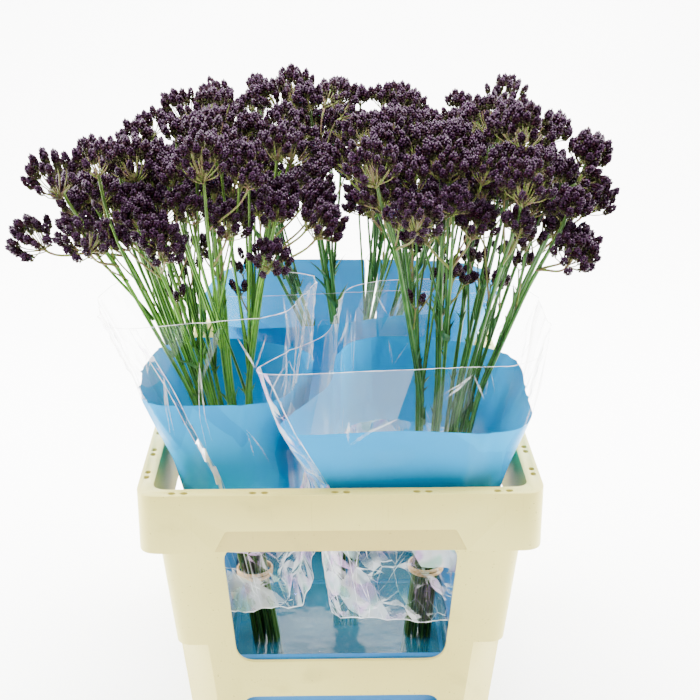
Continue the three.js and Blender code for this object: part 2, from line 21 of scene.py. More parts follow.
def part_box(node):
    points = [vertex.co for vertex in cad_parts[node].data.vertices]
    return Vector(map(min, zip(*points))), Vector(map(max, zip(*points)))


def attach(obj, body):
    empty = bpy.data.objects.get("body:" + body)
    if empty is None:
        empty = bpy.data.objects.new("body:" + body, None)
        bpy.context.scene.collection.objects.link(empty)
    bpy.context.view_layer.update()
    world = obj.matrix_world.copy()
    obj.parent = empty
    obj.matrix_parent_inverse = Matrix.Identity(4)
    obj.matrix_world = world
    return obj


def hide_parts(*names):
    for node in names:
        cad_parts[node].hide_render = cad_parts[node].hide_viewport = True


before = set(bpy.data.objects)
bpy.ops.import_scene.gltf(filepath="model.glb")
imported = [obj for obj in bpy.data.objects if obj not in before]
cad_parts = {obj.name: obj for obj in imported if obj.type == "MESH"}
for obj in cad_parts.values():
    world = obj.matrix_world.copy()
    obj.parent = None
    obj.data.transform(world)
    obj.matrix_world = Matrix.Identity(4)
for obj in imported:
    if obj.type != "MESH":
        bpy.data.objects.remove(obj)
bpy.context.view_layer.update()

logging.basicConfig(level=logging.INFO, format="%(name)s: %(message)s")
LOG = logging.getLogger("verbena")

MM = 0.001
ROOT = "root"

# A span is a pair of numbers: a range, or a place seen from above. A line holds the rows and columns of
# points on a film, or the two outlines of a prism, and a shell holds vertices and faces.
Array = np.ndarray
Point = tuple[float, float, float]
Span = tuple[float, float]
Line = tuple[Array, Array]
Shell = tuple[Array, Array]
Tree = bpy.types.NodeTree
Socket = bpy.types.NodeSocket
Material = bpy.types.Material
Piece = bpy.types.Object
Draws = np.random.RandomState


# ------------------------------------------------------------------ finishes


def linear(code: str) -> tuple[float, float, float, float]:
    """Turns an sRGB hex value into linear light.

    Args:
        code: six hex digits.

    Returns:
        The linear colour, opaque.
    """
    channels = [int(code[i : i + 2], 16) / 255 for i in (0, 2, 4)]
    lit = [c / 12.92 if c <= 0.04045 else ((c + 0.055) / 1.055) ** 2.4 for c in channels]
    return (lit[0], lit[1], lit[2], 1.0)


def add_node(tree: Tree, kind: str, inputs: dict | None = None, out: int | str = 0,
             **settings: object) -> Socket | None:
    """Adds a shader node with its settings and what goes into its sockets.

    A Map Range node's sockets 0 to 4 are the value, the ends of its range and what they are mapped to. A Mix
    node's sockets 0, 6 and 7 are the share and the two colours, and its output 2 is the mixed colour.

    Args:
        tree: the material's node tree.
        kind: Blender's name for the node.
        inputs: socket name or number to a value, or to the output socket linked into it.
        out: which output is wanted.
        settings: the node's own properties.

    Returns:
        The wanted output socket, or None where the node has none.
    """
    node = tree.nodes.new(kind)
    for name, value in settings.items():
        setattr(node, name, value)
    for socket, value in (inputs or {}).items():
        if isinstance(value, Socket):
            tree.links.new(value, node.inputs[socket])
        else:
            node.inputs[socket].default_value = value
    return node.outputs[out] if len(node.outputs) else None


@dataclass(frozen=True)
class Finish:
    """What every finish shares: a name, and a principled shader that is fed by patterns of real size."""

    name: str

    def material(self) -> Material:
        """Builds the material.

        Returns:
            The material.
        """
        material = bpy.data.materials.new(self.name)
        material.use_nodes = True
        tree = material.node_tree
        tree.nodes.clear()
        surface = add_node(tree, "ShaderNodeBsdfPrincipled", self.sockets(tree))
        add_node(tree, "ShaderNodeOutputMaterial", {"Surface": surface})
        return material

    def sockets(self, tree: Tree) -> dict:
        """What goes into the shader's sockets."""
        raise NotImplementedError

    def lumps(self, tree: Tree, size_mm: float, detail: float = 2.0, stretch: Point = (1, 1, 1),
              band: Span = (0.0, 1.0), to: Span = (0.0, 1.0)) -> Socket:
        """A soft pattern of lumps of a real size.

        Args:
            tree: the material's node tree.
            size_mm: width of a lump.
            detail: octaves of finer pattern.
            stretch: how many times longer a lump is along X, Y and Z.
            band: the part of the pattern's range that counts.
            to: what that part is mapped to.

        Returns:
            The pattern's value.
        """
        place = add_node(tree, "ShaderNodeNewGeometry", out="Position")
        scale = tuple(1 / (size_mm * MM * s) for s in stretch)
        spot = add_node(tree, "ShaderNodeMapping", {"Vector": place, "Scale": scale})
        value = add_node(tree, "ShaderNodeTexNoise", {"Vector": spot, "Scale": 1.0, "Detail": detail}, "Fac")
        return add_node(tree, "ShaderNodeMapRange", {0: value, 1: band[0], 2: band[1], 3: to[0], 4: to[1]})

    def facets(self, tree: Tree, size_mm: float, turn: Point, stretch: Point) -> tuple[Socket, Socket]:
        """The flat facets of a crumpled sheet, with straight folds between them.

        Args:
            tree: the material's node tree.
            size_mm: width of a facet.
            turn: how the facets lie, as angles about X, Y and Z.
            stretch: how many times longer a facet is along its own X, Y and Z.

        Returns:
            A random value for each facet, and the distance from the nearest fold.
        """
        place = add_node(tree, "ShaderNodeNewGeometry", out="Position")
        turned = add_node(tree, "ShaderNodeMapping", {"Vector": place, "Rotation": turn})
        scale = tuple(1 / (size_mm * MM * s) for s in stretch)
        spot = add_node(tree, "ShaderNodeMapping", {"Vector": turned, "Scale": scale})
        tone = add_node(tree, "ShaderNodeTexVoronoi", {"Vector": spot, "Scale": 1.0}, "Color")
        fold = add_node(tree, "ShaderNodeTexVoronoi", {"Vector": spot, "Scale": 1.0},
                        feature="DISTANCE_TO_EDGE")
        return add_node(tree, "ShaderNodeSeparateColor", {0: tone}), fold


@dataclass(frozen=True)
class MouldedPolypropylene(Finish):
    """Injection moulded polypropylene: waxy, soft gloss, with the scuffs and stains of a reused container."""

    colour: str
    shade: str
    stain: str
    roughness: float = 0.42
    wear: float = 1.0
    depth: float = 0.08

    def sockets(self, tree: Tree) -> dict:
        """Two tones drift over the moulding, under greenish stains, upright scratches and dark specks.

        Args:
            tree: the material's node tree.

        Returns:
            The shader's inputs by name.
        """
        broad = self.lumps(tree, 140, band=(0.35, 0.65))
        tone = add_node(tree, "ShaderNodeMix", {0: broad, 6: linear(self.colour), 7: linear(self.shade)}, 2,
                        data_type="RGBA")
        stains = self.lumps(tree, 42, 6, (1, 1, 0.7), (0.6, 0.76), (0.0, 0.30 * self.wear))
        scratches = self.lumps(tree, 1.3, 2, (1, 1, 24), (0.66, 0.76), (0.0, 0.20 * self.wear))
        # Specks are 0.5 mm in life and drawn as 1.6 mm, so that they show.
        specks = self.lumps(tree, 1.6, 0, (1, 1, 1), (0.80, 0.83), (0.0, 0.7 * self.wear))
        for share in (stains, scratches, specks):
            tone = add_node(tree, "ShaderNodeMix", {0: share, 6: tone, 7: linear(self.stain)}, 2,
                            data_type="RGBA")
        # The moulded grain is 0.2 mm in life and drawn as 0.8 mm.
        grain = self.lumps(tree, 0.8)
        bump = add_node(tree, "ShaderNodeBump", {"Height": grain, "Strength": 0.05, "Distance": 0.0003})
        rough = self.lumps(tree, 60, 3, to=(self.roughness - 0.08, self.roughness + 0.12))
        return {"Base Color": tone, "Roughness": rough, "IOR": 1.49, "Specular IOR Level": 0.3,
                "Normal": bump, "Subsurface Weight": self.depth, "Subsurface Scale": 4 * MM,
                "Subsurface Radius": (1.0, 0.8, 0.5)}


@dataclass(frozen=True)
class ClearFilm(Finish):
    """Cast polypropylene film, clear: its flat facets carry painted highlights as white panes, with a faint
    painted rainbow reflection.
    """

    crumpled_below_mm: float = 262.0
    eased_over_mm: float = 20.0
    fold_depth_mm: float = 6.5

    def sockets(self, tree: Tree) -> dict:
        """Low down the film is crumpled into small facets with painted highlights; higher up it is stretched,
        nearly clear.

        Args:
            tree: the material's node tree.

        Returns:
            The shader's inputs by name.
        """
        place = add_node(tree, "ShaderNodeNewGeometry", out="Position")
        height = add_node(tree, "ShaderNodeSeparateXYZ", {0: place}, "Z")
        taut_from = self.crumpled_below_mm * MM
        low = add_node(tree, "ShaderNodeMapRange", {0: height, 1: taut_from - self.eased_over_mm * MM,
                                                    2: taut_from, 3: 1.0, 4: 0.0})
        # Facets of 13, 32 and 58 mm lie over each other, each size turned its own way.
        _, small_fold = self.facets(tree, 13, (0.5, 0.3, 0.6), (1, 1, 3.0))
        middle, middle_fold = self.facets(tree, 32, (-0.4, 0.5, 0.9), (0.8, 0.8, 2.2))
        broad, broad_fold = self.facets(tree, 58, (0.25, -0.35, 0.2), (0.6, 0.6, 3.5))
        crumple = add_node(tree, "ShaderNodeMath", {0: middle_fold, 1: 2.2, 2: small_fold},
                           operation="MULTIPLY_ADD")
        drawn = add_node(tree, "ShaderNodeMath", {0: broad_fold, 1: 1.2}, operation="MULTIPLY")
        relief = add_node(tree, "ShaderNodeMix", {0: low, 2: drawn, 3: crumple})
        bump = add_node(tree, "ShaderNodeBump", {"Height": relief, "Strength": 1.0,
                                                 "Distance": self.fold_depth_mm * MM})
        crumpled = self.crumpled(tree, bump, middle, small_fold)
        stretched = self.stretched(tree, bump, broad)
        # The white cover is painted highlight and painted reflection on clear film.
        cover = add_node(tree, "ShaderNodeMix", {0: low, 2: stretched, 3: crumpled})
        return {"Base Color": self.tone(tree, low), "Alpha": cover, "Roughness": 0.12, "IOR": 1.49,
                "Specular IOR Level": 0.9, "Thin Film Thickness": 380.0, "Thin Film IOR": 1.36,
                "Normal": bump}

    def crumpled(self, tree: Tree, bump: Socket, facet: Socket, fold: Socket) -> Socket:
        """How much painted white the crumpled film shows: painted highlights on facets that lean away, on a
        few bright panes and along folds.

        Args:
            tree: the material's node tree.
            bump: the film's bumped normal.
            facet: the facets' random values.
            fold: the distance from the nearest fold.

        Returns:
            The socket of the cover, from 0 to 1.
        """
        tilt = add_node(tree, "ShaderNodeLayerWeight", {"Blend": 0.7, "Normal": bump}, "Facing")
        painted_facing_highlight = add_node(tree, "ShaderNodeMapRange", {0: tilt, 1: 0.48, 2: 1.0, 3: 0.02, 4: 0.62})
        painted_glint = add_node(tree, "ShaderNodeMapRange", {0: facet, 1: 0.84, 2: 1.0, 3: 0.0, 4: 0.55})
        # White lines along the folds: painted highlights.
        line = add_node(tree, "ShaderNodeMapRange", {0: fold, 1: 0.0, 2: 0.008, 3: 0.5, 4: 0.0})
        cover = add_node(tree, "ShaderNodeMath", {0: painted_facing_highlight, 1: painted_glint}, operation="MAXIMUM")
        return add_node(tree, "ShaderNodeMath", {0: cover, 1: line}, operation="MAXIMUM")

    def stretched(self, tree: Tree, bump: Socket, facet: Socket) -> Socket:
        """How much painted white the taut film shows: a painted reflection where it is seen edge on, and a
        thin painted sheen over a few broad facets.

        Args:
            tree: the material's node tree.
            bump: the film's bumped normal.
            facet: the facets' random values.

        Returns:
            The socket of the cover, from 0 to 1.
        """
        edge_on = add_node(tree, "ShaderNodeLayerWeight", {"Blend": 0.5, "Normal": bump}, "Facing")
        # White where the film is seen edge on: painted reflection.
        rim = add_node(tree, "ShaderNodeMapRange", {0: edge_on, 1: 0.74, 2: 1.0, 3: 0.003, 4: 0.45})
        painted_sheen = add_node(tree, "ShaderNodeMapRange", {0: facet, 1: 0.64, 2: 0.9, 3: 0.0, 4: 0.1})
        return add_node(tree, "ShaderNodeMath", {0: rim, 1: painted_sheen}, operation="MAXIMUM")

    def tone(self, tree: Tree, low: Socket) -> Socket:
        """White, with pink and green patches of painted rainbow reflection where it is crumpled.

        Args:
            tree: the material's node tree.
            low: 1 where the film is crumpled, 0 where it is taut.

        Returns:
            The socket of the colour.
        """
        # Pink and green patches: painted rainbow reflection of a thin film.
        rosy = self.lumps(tree, 20, 1, band=(0.50, 0.60), to=(0.0, 0.65))
        green = self.lumps(tree, 15, 1, (1, 1, 1.6), (0.54, 0.64), (0.0, 0.6))
        tone = add_node(tree, "ShaderNodeMix", {0: rosy, 6: linear("FCFEFE"), 7: linear("D890E8")}, 2,
                        data_type="RGBA")
        tone = add_node(tree, "ShaderNodeMix", {0: green, 6: tone, 7: linear("86DCB0")}, 2, data_type="RGBA")
        return add_node(tree, "ShaderNodeMix", {0: low, 6: linear("F4FAFB"), 7: tone}, 2, data_type="RGBA")


@dataclass(frozen=True)
class PrintedFilm(Finish):
    """Cast polypropylene film under a flood coat of ink: even sky blue, with broad facets painted paler and
    deeper as the light and shade of its folds.
    """

    colour: str
    pale: str
    deep: str
    cover: float = 0.996

    def sockets(self, tree: Tree) -> dict:
        """Some broad facets are painted a little paler, some a little deeper than the ink between them:
        painted light and painted shade of the folds.

        Args:
            tree: the material's node tree.

        Returns:
            The shader's inputs by name.
        """
        broad, fold = self.facets(tree, 66, (0.3, 0.5, 0.1), (0.8, 0.8, 2.4))
        # Paler and deeper facets: painted light and painted shade.
        pale = add_node(tree, "ShaderNodeMapRange", {0: broad, 1: 0.6, 2: 1.0, 3: 0.0, 4: 0.6})
        deep = add_node(tree, "ShaderNodeMapRange", {0: broad, 1: 0.4, 2: 0.0, 3: 0.0, 4: 0.6})
        tone = add_node(tree, "ShaderNodeMix", {0: pale, 6: linear(self.colour), 7: linear(self.pale)}, 2,
                        data_type="RGBA")
        tone = add_node(tree, "ShaderNodeMix", {0: deep, 6: tone, 7: linear(self.deep)}, 2, data_type="RGBA")
        bump = add_node(tree, "ShaderNodeBump", {"Height": fold, "Strength": 0.5, "Distance": 4 * MM})
        return {"Base Color": tone, "Alpha": self.cover, "Roughness": 0.24, "IOR": 1.49,
                "Specular IOR Level": 0.025, "Normal": bump}


@dataclass(frozen=True)
class MilkyFilm(Finish):
    """Film that is welded, cut or pressed into a sharp fold: a milky line, as light runs along it."""

    thinnest: float
    thickest: float

    def sockets(self, tree: Tree) -> dict:
        """Milky white, broken up a little."""
        cover = self.lumps(tree, 9, 2, band=(0.3, 0.7), to=(self.thinnest, self.thickest))
        return {"Base Color": linear("FBFDFC"), "Alpha": cover, "Roughness": 0.3, "IOR": 1.49}


@dataclass(frozen=True)
class PlantSkin(Finish):
    """Living plant tissue: tones drift over a few millimetres along the growth, under fine ridges."""

    low: str
    high: str
    drift_mm: float
    stretch: float
    roughness: float
    gloss: float
    # The foot colour is painted shade low in the crate.
    foot: str = ""
    tip: str = ""
    painted_shade_heights: Span = (300, 225)
    tip_heights: Span = (425, 545)

    def sockets(self, tree: Tree) -> dict:
        """Two tones drift into each other, and turn with height to the tip's colour and, low in the crate, to
        the foot's colour, which is painted shade.

        Args:
            tree: the material's node tree.

        Returns:
            The shader's inputs by name.
        """
        drift = self.lumps(tree, self.drift_mm, 3, (1, 1, self.stretch), (0.36, 0.64))
        tone = add_node(tree, "ShaderNodeMix", {0: drift, 6: linear(self.low), 7: linear(self.high)}, 2,
                        data_type="RGBA")
        place = add_node(tree, "ShaderNodeNewGeometry", out="Position")
        height = add_node(tree, "ShaderNodeSeparateXYZ", {0: place}, "Z")
        wander = self.lumps(tree, 26, to=(-32 * MM, 32 * MM))
        height = add_node(tree, "ShaderNodeMath", {0: height, 1: wander})
        # Low down the tone turns to the foot colour: painted shade inside the crate.
        for colour, (none_at, all_at) in ((self.foot, self.painted_shade_heights), (self.tip, self.tip_heights)):
            if colour:
                share = add_node(tree, "ShaderNodeMapRange", {0: height, 1: none_at * MM, 2: all_at * MM})
                tone = add_node(tree, "ShaderNodeMix", {0: share, 6: tone, 7: linear(colour)}, 2,
                                data_type="RGBA")
        # Fine ridges are 0.2 mm apart in life and drawn 0.7 mm apart.
        ridges = self.lumps(tree, 0.7, 2, (1, 1, 9))
        bump = add_node(tree, "ShaderNodeBump", {"Height": ridges, "Strength": 0.35, "Distance": 0.0004})
        return {"Base Color": tone, "Roughness": self.roughness, "IOR": 1.42, "Normal": bump,
                "Specular IOR Level": self.gloss}


@dataclass(frozen=True)
class StillWater(Finish):
    """Water in the tub: a dark tint, painted shade inside the crate, under a mirror-like skin with slow
    ripples.
    """

    def sockets(self, tree: Tree) -> dict:
        """A thin green-blue tint, darkened as painted shade, that shows the tub below.

        Args:
            tree: the material's node tree.

        Returns:
            The shader's inputs by name.
        """
        tone_drift = self.lumps(tree, 60, 1, band=(0.4, 0.6))
        tone = add_node(tree, "ShaderNodeMix", {0: tone_drift, 6: linear("1F5566"), 7: linear("2A6678")}, 2,
                        data_type="RGBA")
        ripples = self.lumps(tree, 18, 1)
        bump = add_node(tree, "ShaderNodeBump", {"Height": ripples, "Strength": 0.4, "Distance": 3 * MM})
        return {"Base Color": tone, "Alpha": 0.5, "Roughness": 0.1, "IOR": 1.333, "Normal": bump}


@dataclass(frozen=True)
class NaturalRubber(Finish):
    """An elastic band of natural rubber: tan and dull, with a talc bloom."""

    def sockets(self, tree: Tree) -> dict:
        """Dull tan with a paler bloom in patches a few millimetres wide.

        Args:
            tree: the material's node tree.

        Returns:
            The shader's inputs by name.
        """
        bloom = self.lumps(tree, 3, 3, band=(0.4, 0.65))
        tone = add_node(tree, "ShaderNodeMix", {0: bloom, 6: linear("A87F4C"), 7: linear("C4A676")}, 2,
                        data_type="RGBA")
        return {"Base Color": tone, "Roughness": 0.72, "IOR": 1.52}


@dataclass(frozen=True)
class MattPaint(Finish):
    """Matt white studio paint."""

    def sockets(self, tree: Tree) -> dict:
        """Plain and matt, with a barely seen drift.

        Args:
            tree: the material's node tree.

        Returns:
            The shader's inputs by name.
        """
        drift = self.lumps(tree, 400, band=(0.3, 0.7))
        tone = add_node(tree, "ShaderNodeMix", {0: drift, 6: linear("FBFBFA"), 7: linear("F8F8F7")}, 2,
                        data_type="RGBA")
        return {"Base Color": tone, "Roughness": 0.85}


# ------------------------------------------------------------------ mesh helpers


def linked(name: str, data: bpy.types.ID) -> Piece:
    """Makes an object of a mesh, a light or a camera and links it into the scene.

    Args:
        name: the object's name.
        data: the mesh, light or camera.

    Returns:
        The object.
    """
    thing = bpy.data.objects.new(name, data)
    bpy.context.scene.collection.objects.link(thing)
    return thing


@dataclass
class MeshStore:
    """Gathers vertices and faces of many small shapes, in millimetres, for one object."""

    vertices: list[Array] = field(default_factory=list)
    faces: list[Array] = field(default_factory=list)
    slots: list[Array] = field(default_factory=list)
    count: int = 0

    def add(self, vertices: Array, faces: Array, slot: int | Array = 0) -> None:
        """Adds a shape.

        Args:
            vertices: N by 3 places in millimetres.
            faces: M by 3 or M by 4 vertex numbers.
            slot: material number of all faces, or one for each.
        """
        if faces.shape[1] == 3:
            faces = np.hstack([faces, np.full((len(faces), 1), -1)])
        shifted = np.where(faces >= 0, faces + self.count, -1)
        self.vertices.append(np.asarray(vertices, float))
        self.faces.append(shifted)
        self.slots.append(np.broadcast_to(np.asarray(slot), (len(faces),)))
        self.count += len(vertices)

    def build(self, name: str, materials: list[Material]) -> Piece:
        """Makes the object.

        Args:
            name: the object's name.
            materials: one for each material number.

        Returns:
            The new object, shaded smooth and linked into the scene.
        """
        vertices = np.vstack(self.vertices) * MM
        faces = np.vstack(self.faces)
        slots = np.concatenate(self.slots)
        sizes = np.where(faces[:, 3] < 0, 3, 4)
        corners = faces[faces >= 0]
        starts = np.concatenate([[0], np.cumsum(sizes)[:-1]])
        mesh = bpy.data.meshes.new(name)
        mesh.vertices.add(len(vertices))
        mesh.vertices.foreach_set("co", vertices.ravel())
        mesh.loops.add(len(corners))
        mesh.loops.foreach_set("vertex_index", corners.astype(np.int32))
        mesh.polygons.add(len(faces))
        mesh.polygons.foreach_set("loop_start", starts.astype(np.int32))
        for material in materials:
            mesh.materials.append(material)
        mesh.polygons.foreach_set("material_index", slots.astype(np.int32))
        mesh.polygons.foreach_set("use_smooth", np.full(len(faces), True))
        mesh.update(calc_edges=True)
        mesh.validate()
        return linked(name, mesh)


def unit(v: Array) -> Array:
    """The vector at length one."""
    return v / max(float(np.linalg.norm(v)), 1e-12)


def cross_axes(direction: Array) -> tuple[Array, Array]:
    """Two unit vectors across a direction, at right angles to each other.

    Args:
        direction: a unit vector.

    Returns:
        The two vectors.
    """
    helper = np.array([1.0, 0.0, 0.0]) if abs(direction[0]) < 0.8 else np.array([0.0, 1.0, 0.0])
    first = unit(np.cross(helper, direction))
    return first, np.cross(direction, first)


def walls(count: int, levels: int) -> Array:
    """Quads round a stack of closed outlines, each of count points, from the lowest level to the highest.

    Args:
        count: points in one outline.
        levels: number of outlines.

    Returns:
        Rows of four vertex numbers.
    """
    k = np.arange(count)
    j = (k + 1) % count
    ring = np.stack([k, j, count + j, count + k], 1)
    return np.vstack([ring + level * count for level in range(levels - 1)])


def fan(middle: int, first: int, count: int, upwards: bool) -> Array:
    """Triangles from a middle vertex to a closed outline of count vertices, facing up or down.

    Args:
        middle: number of the middle vertex.
        first: number of the outline's first vertex.
        count: points in one outline.
        upwards: whether the triangles face up.

    Returns:
        Rows of three vertex numbers and -1.
    """
    k = first + np.arange(count)
    j = np.roll(k, -1)
    near, far = (k, j) if upwards else (j, k)
    return np.stack([np.full(count, middle), near, far, np.full(count, -1)], 1)


def tube(path: Array, radii: Array, section: Array, turn: float = 0.0) -> Shell:
    """A tube along a path.

    Args:
        path: N by 3 points.
        radii: radius at each point.
        section: K by 2 outline of radius one.
        turn: angle that the outline starts at.

    Returns:
        Vertices and faces, closed at both ends by fans.
    """
    count, sides = len(path), len(section)
    along = np.gradient(path, axis=0)
    along /= np.linalg.norm(along, axis=1)[:, None]
    side, _ = cross_axes(along[0])
    rings = []
    cos, sin = math.cos(turn), math.sin(turn)
    outline = section @ np.array([[cos, sin], [-sin, cos]])
    for point, way, radius in zip(path, along, radii):
        side = unit(side - way * float(side @ way))
        other = np.cross(way, side)
        rings.append(point + radius * (outline[:, :1] * side + outline[:, 1:] * other))
    vertices = np.vstack([*rings, path[:1], path[-1:]])
    ends = [fan(count * sides, 0, sides, False), fan(count * sides + 1, (count - 1) * sides, sides, True)]
    return vertices, np.vstack([walls(sides, count), *ends])


def round_section(sides: int) -> Array:
    """A regular outline of radius one."""
    angles = 2 * math.pi * np.arange(sides) / sides
    return np.stack([np.cos(angles), np.sin(angles)], 1)


# ------------------------------------------------------------------ seeded layout of the flowering stems


class SeededDraws:
    """Even random numbers from 0 to 1 from a 32-bit seed, the same ones that laid out the solids."""

    def __init__(self, seed: int) -> None:
        """Starts the series at a seed."""
        self.state = seed & 0xFFFFFFFF

    def draw(self) -> float:
        """The next number.

        Returns:
            A number from 0 up to 1.
        """
        self.state = (self.state + 0x6D2B79F5) & 0xFFFFFFFF
        state = self.state
        mixed = ((state ^ (state >> 15)) * (state | 1)) & 0xFFFFFFFF
        stirred = ((mixed ^ (mixed >> 7)) * (mixed | 61)) & 0xFFFFFFFF
        mixed = ((mixed + stirred) & 0xFFFFFFFF) ^ mixed
        return (mixed ^ (mixed >> 14)) / 4294967296

    def between(self, low: float, high: float) -> float:
        """The next number, from low to high."""
        return low + (high - low) * self.draw()


def minus(a: Point, b: Point) -> Point:
    """The way from b to a."""
    return (a[0] - b[0], a[1] - b[1], a[2] - b[2])


def plus(a: Point, b: Point, share: float = 1.0) -> Point:
    """Point a moved along b by a share of it."""
    return (a[0] + b[0] * share, a[1] + b[1] * share, a[2] + b[2] * share)


def dot(a: Point, b: Point) -> float:
    """The dot product."""
    return a[0] * b[0] + a[1] * b[1] + a[2] * b[2]


def normal(a: Point) -> Point:
    """The vector at length one."""
    size = math.sqrt(dot(a, a))
    return (a[0] / size, a[1] / size, a[2] / size)


def closest(p1: Point, q1: Point, p2: Point, q2: Point) -> float:
    """Least distance between two straight pieces.

    Args:
        p1: start of the first piece.
        q1: end of the first piece.
        p2: start of the second piece.
        q2: end of the second piece.

    Returns:
        The distance.
    """
    d1, d2, r = minus(q1, p1), minus(q2, p2), minus(p1, p2)
    a, e = max(dot(d1, d1), 1e-9), max(dot(d2, d2), 1e-9)
    b, c, f = dot(d1, d2), dot(d1, r), dot(d2, r)
    slack = a * e - b * b
    s = min(1.0, max(0.0, (b * f - c * e) / slack)) if slack > 1e-9 else 0.0
    t = min(1.0, max(0.0, (b * s + f) / e))
    s = min(1.0, max(0.0, (b * t - c) / a))
    gap = minus(plus(p1, d1, s), plus(p2, d2, t))
    return math.sqrt(dot(gap, gap))


@dataclass(frozen=True)
class Room:
    """The space that a straight piece takes: a capsule."""

    start: Point
    end: Point
    radius: float

    def gap(self, other: "Room") -> float:
        """Distance from this piece's skin to another's."""
        return closest(self.start, self.end, other.start, other.end) - self.radius - other.radius


@dataclass(frozen=True)
class Bunch:
    """One bunch: where its stems stand, where they fan out to and how many there are."""

    name: str
    foot: Span
    crown: Span
    reach: Span
    columns: int
    rows: int
    spread: float
    seed: int


@dataclass
class Head:
    """One flower head: its centre, the way it points, its radius and its spikelets' lengths."""

    centre: Point
    axis: Point
    radius: float
    lengths: list[float]

    def room(self, reach: float) -> Room:
        """The space the head takes."""
        return Room(self.centre, self.centre, self.radius * reach)


@dataclass
class Branch:
    """A branch below a head."""

    start: Point
    end: Point
    direction: Point


@dataclass
class Leaf:
    """One leaf of a pair."""

    base: Point
    direction: Point
    tangent: Point
    length: float
    width: float


@dataclass
class Stem:
    """One flowering stem with its branches, heads and leaves."""

    bunch: Bunch
    number: int
    name: str
    packed: Span
    fanned: Span
    draws: SeededDraws
    top: float = 0.0
    path: list[Point] = field(default_factory=list)
    taken: list[Room] = field(default_factory=list)
    heads: list[Head] = field(default_factory=list)
    branches: list[Branch] = field(default_factory=list)
    leaves: list[Leaf] = field(default_factory=list)
    sprays: list[tuple[Branch, Head]] = field(default_factory=list)


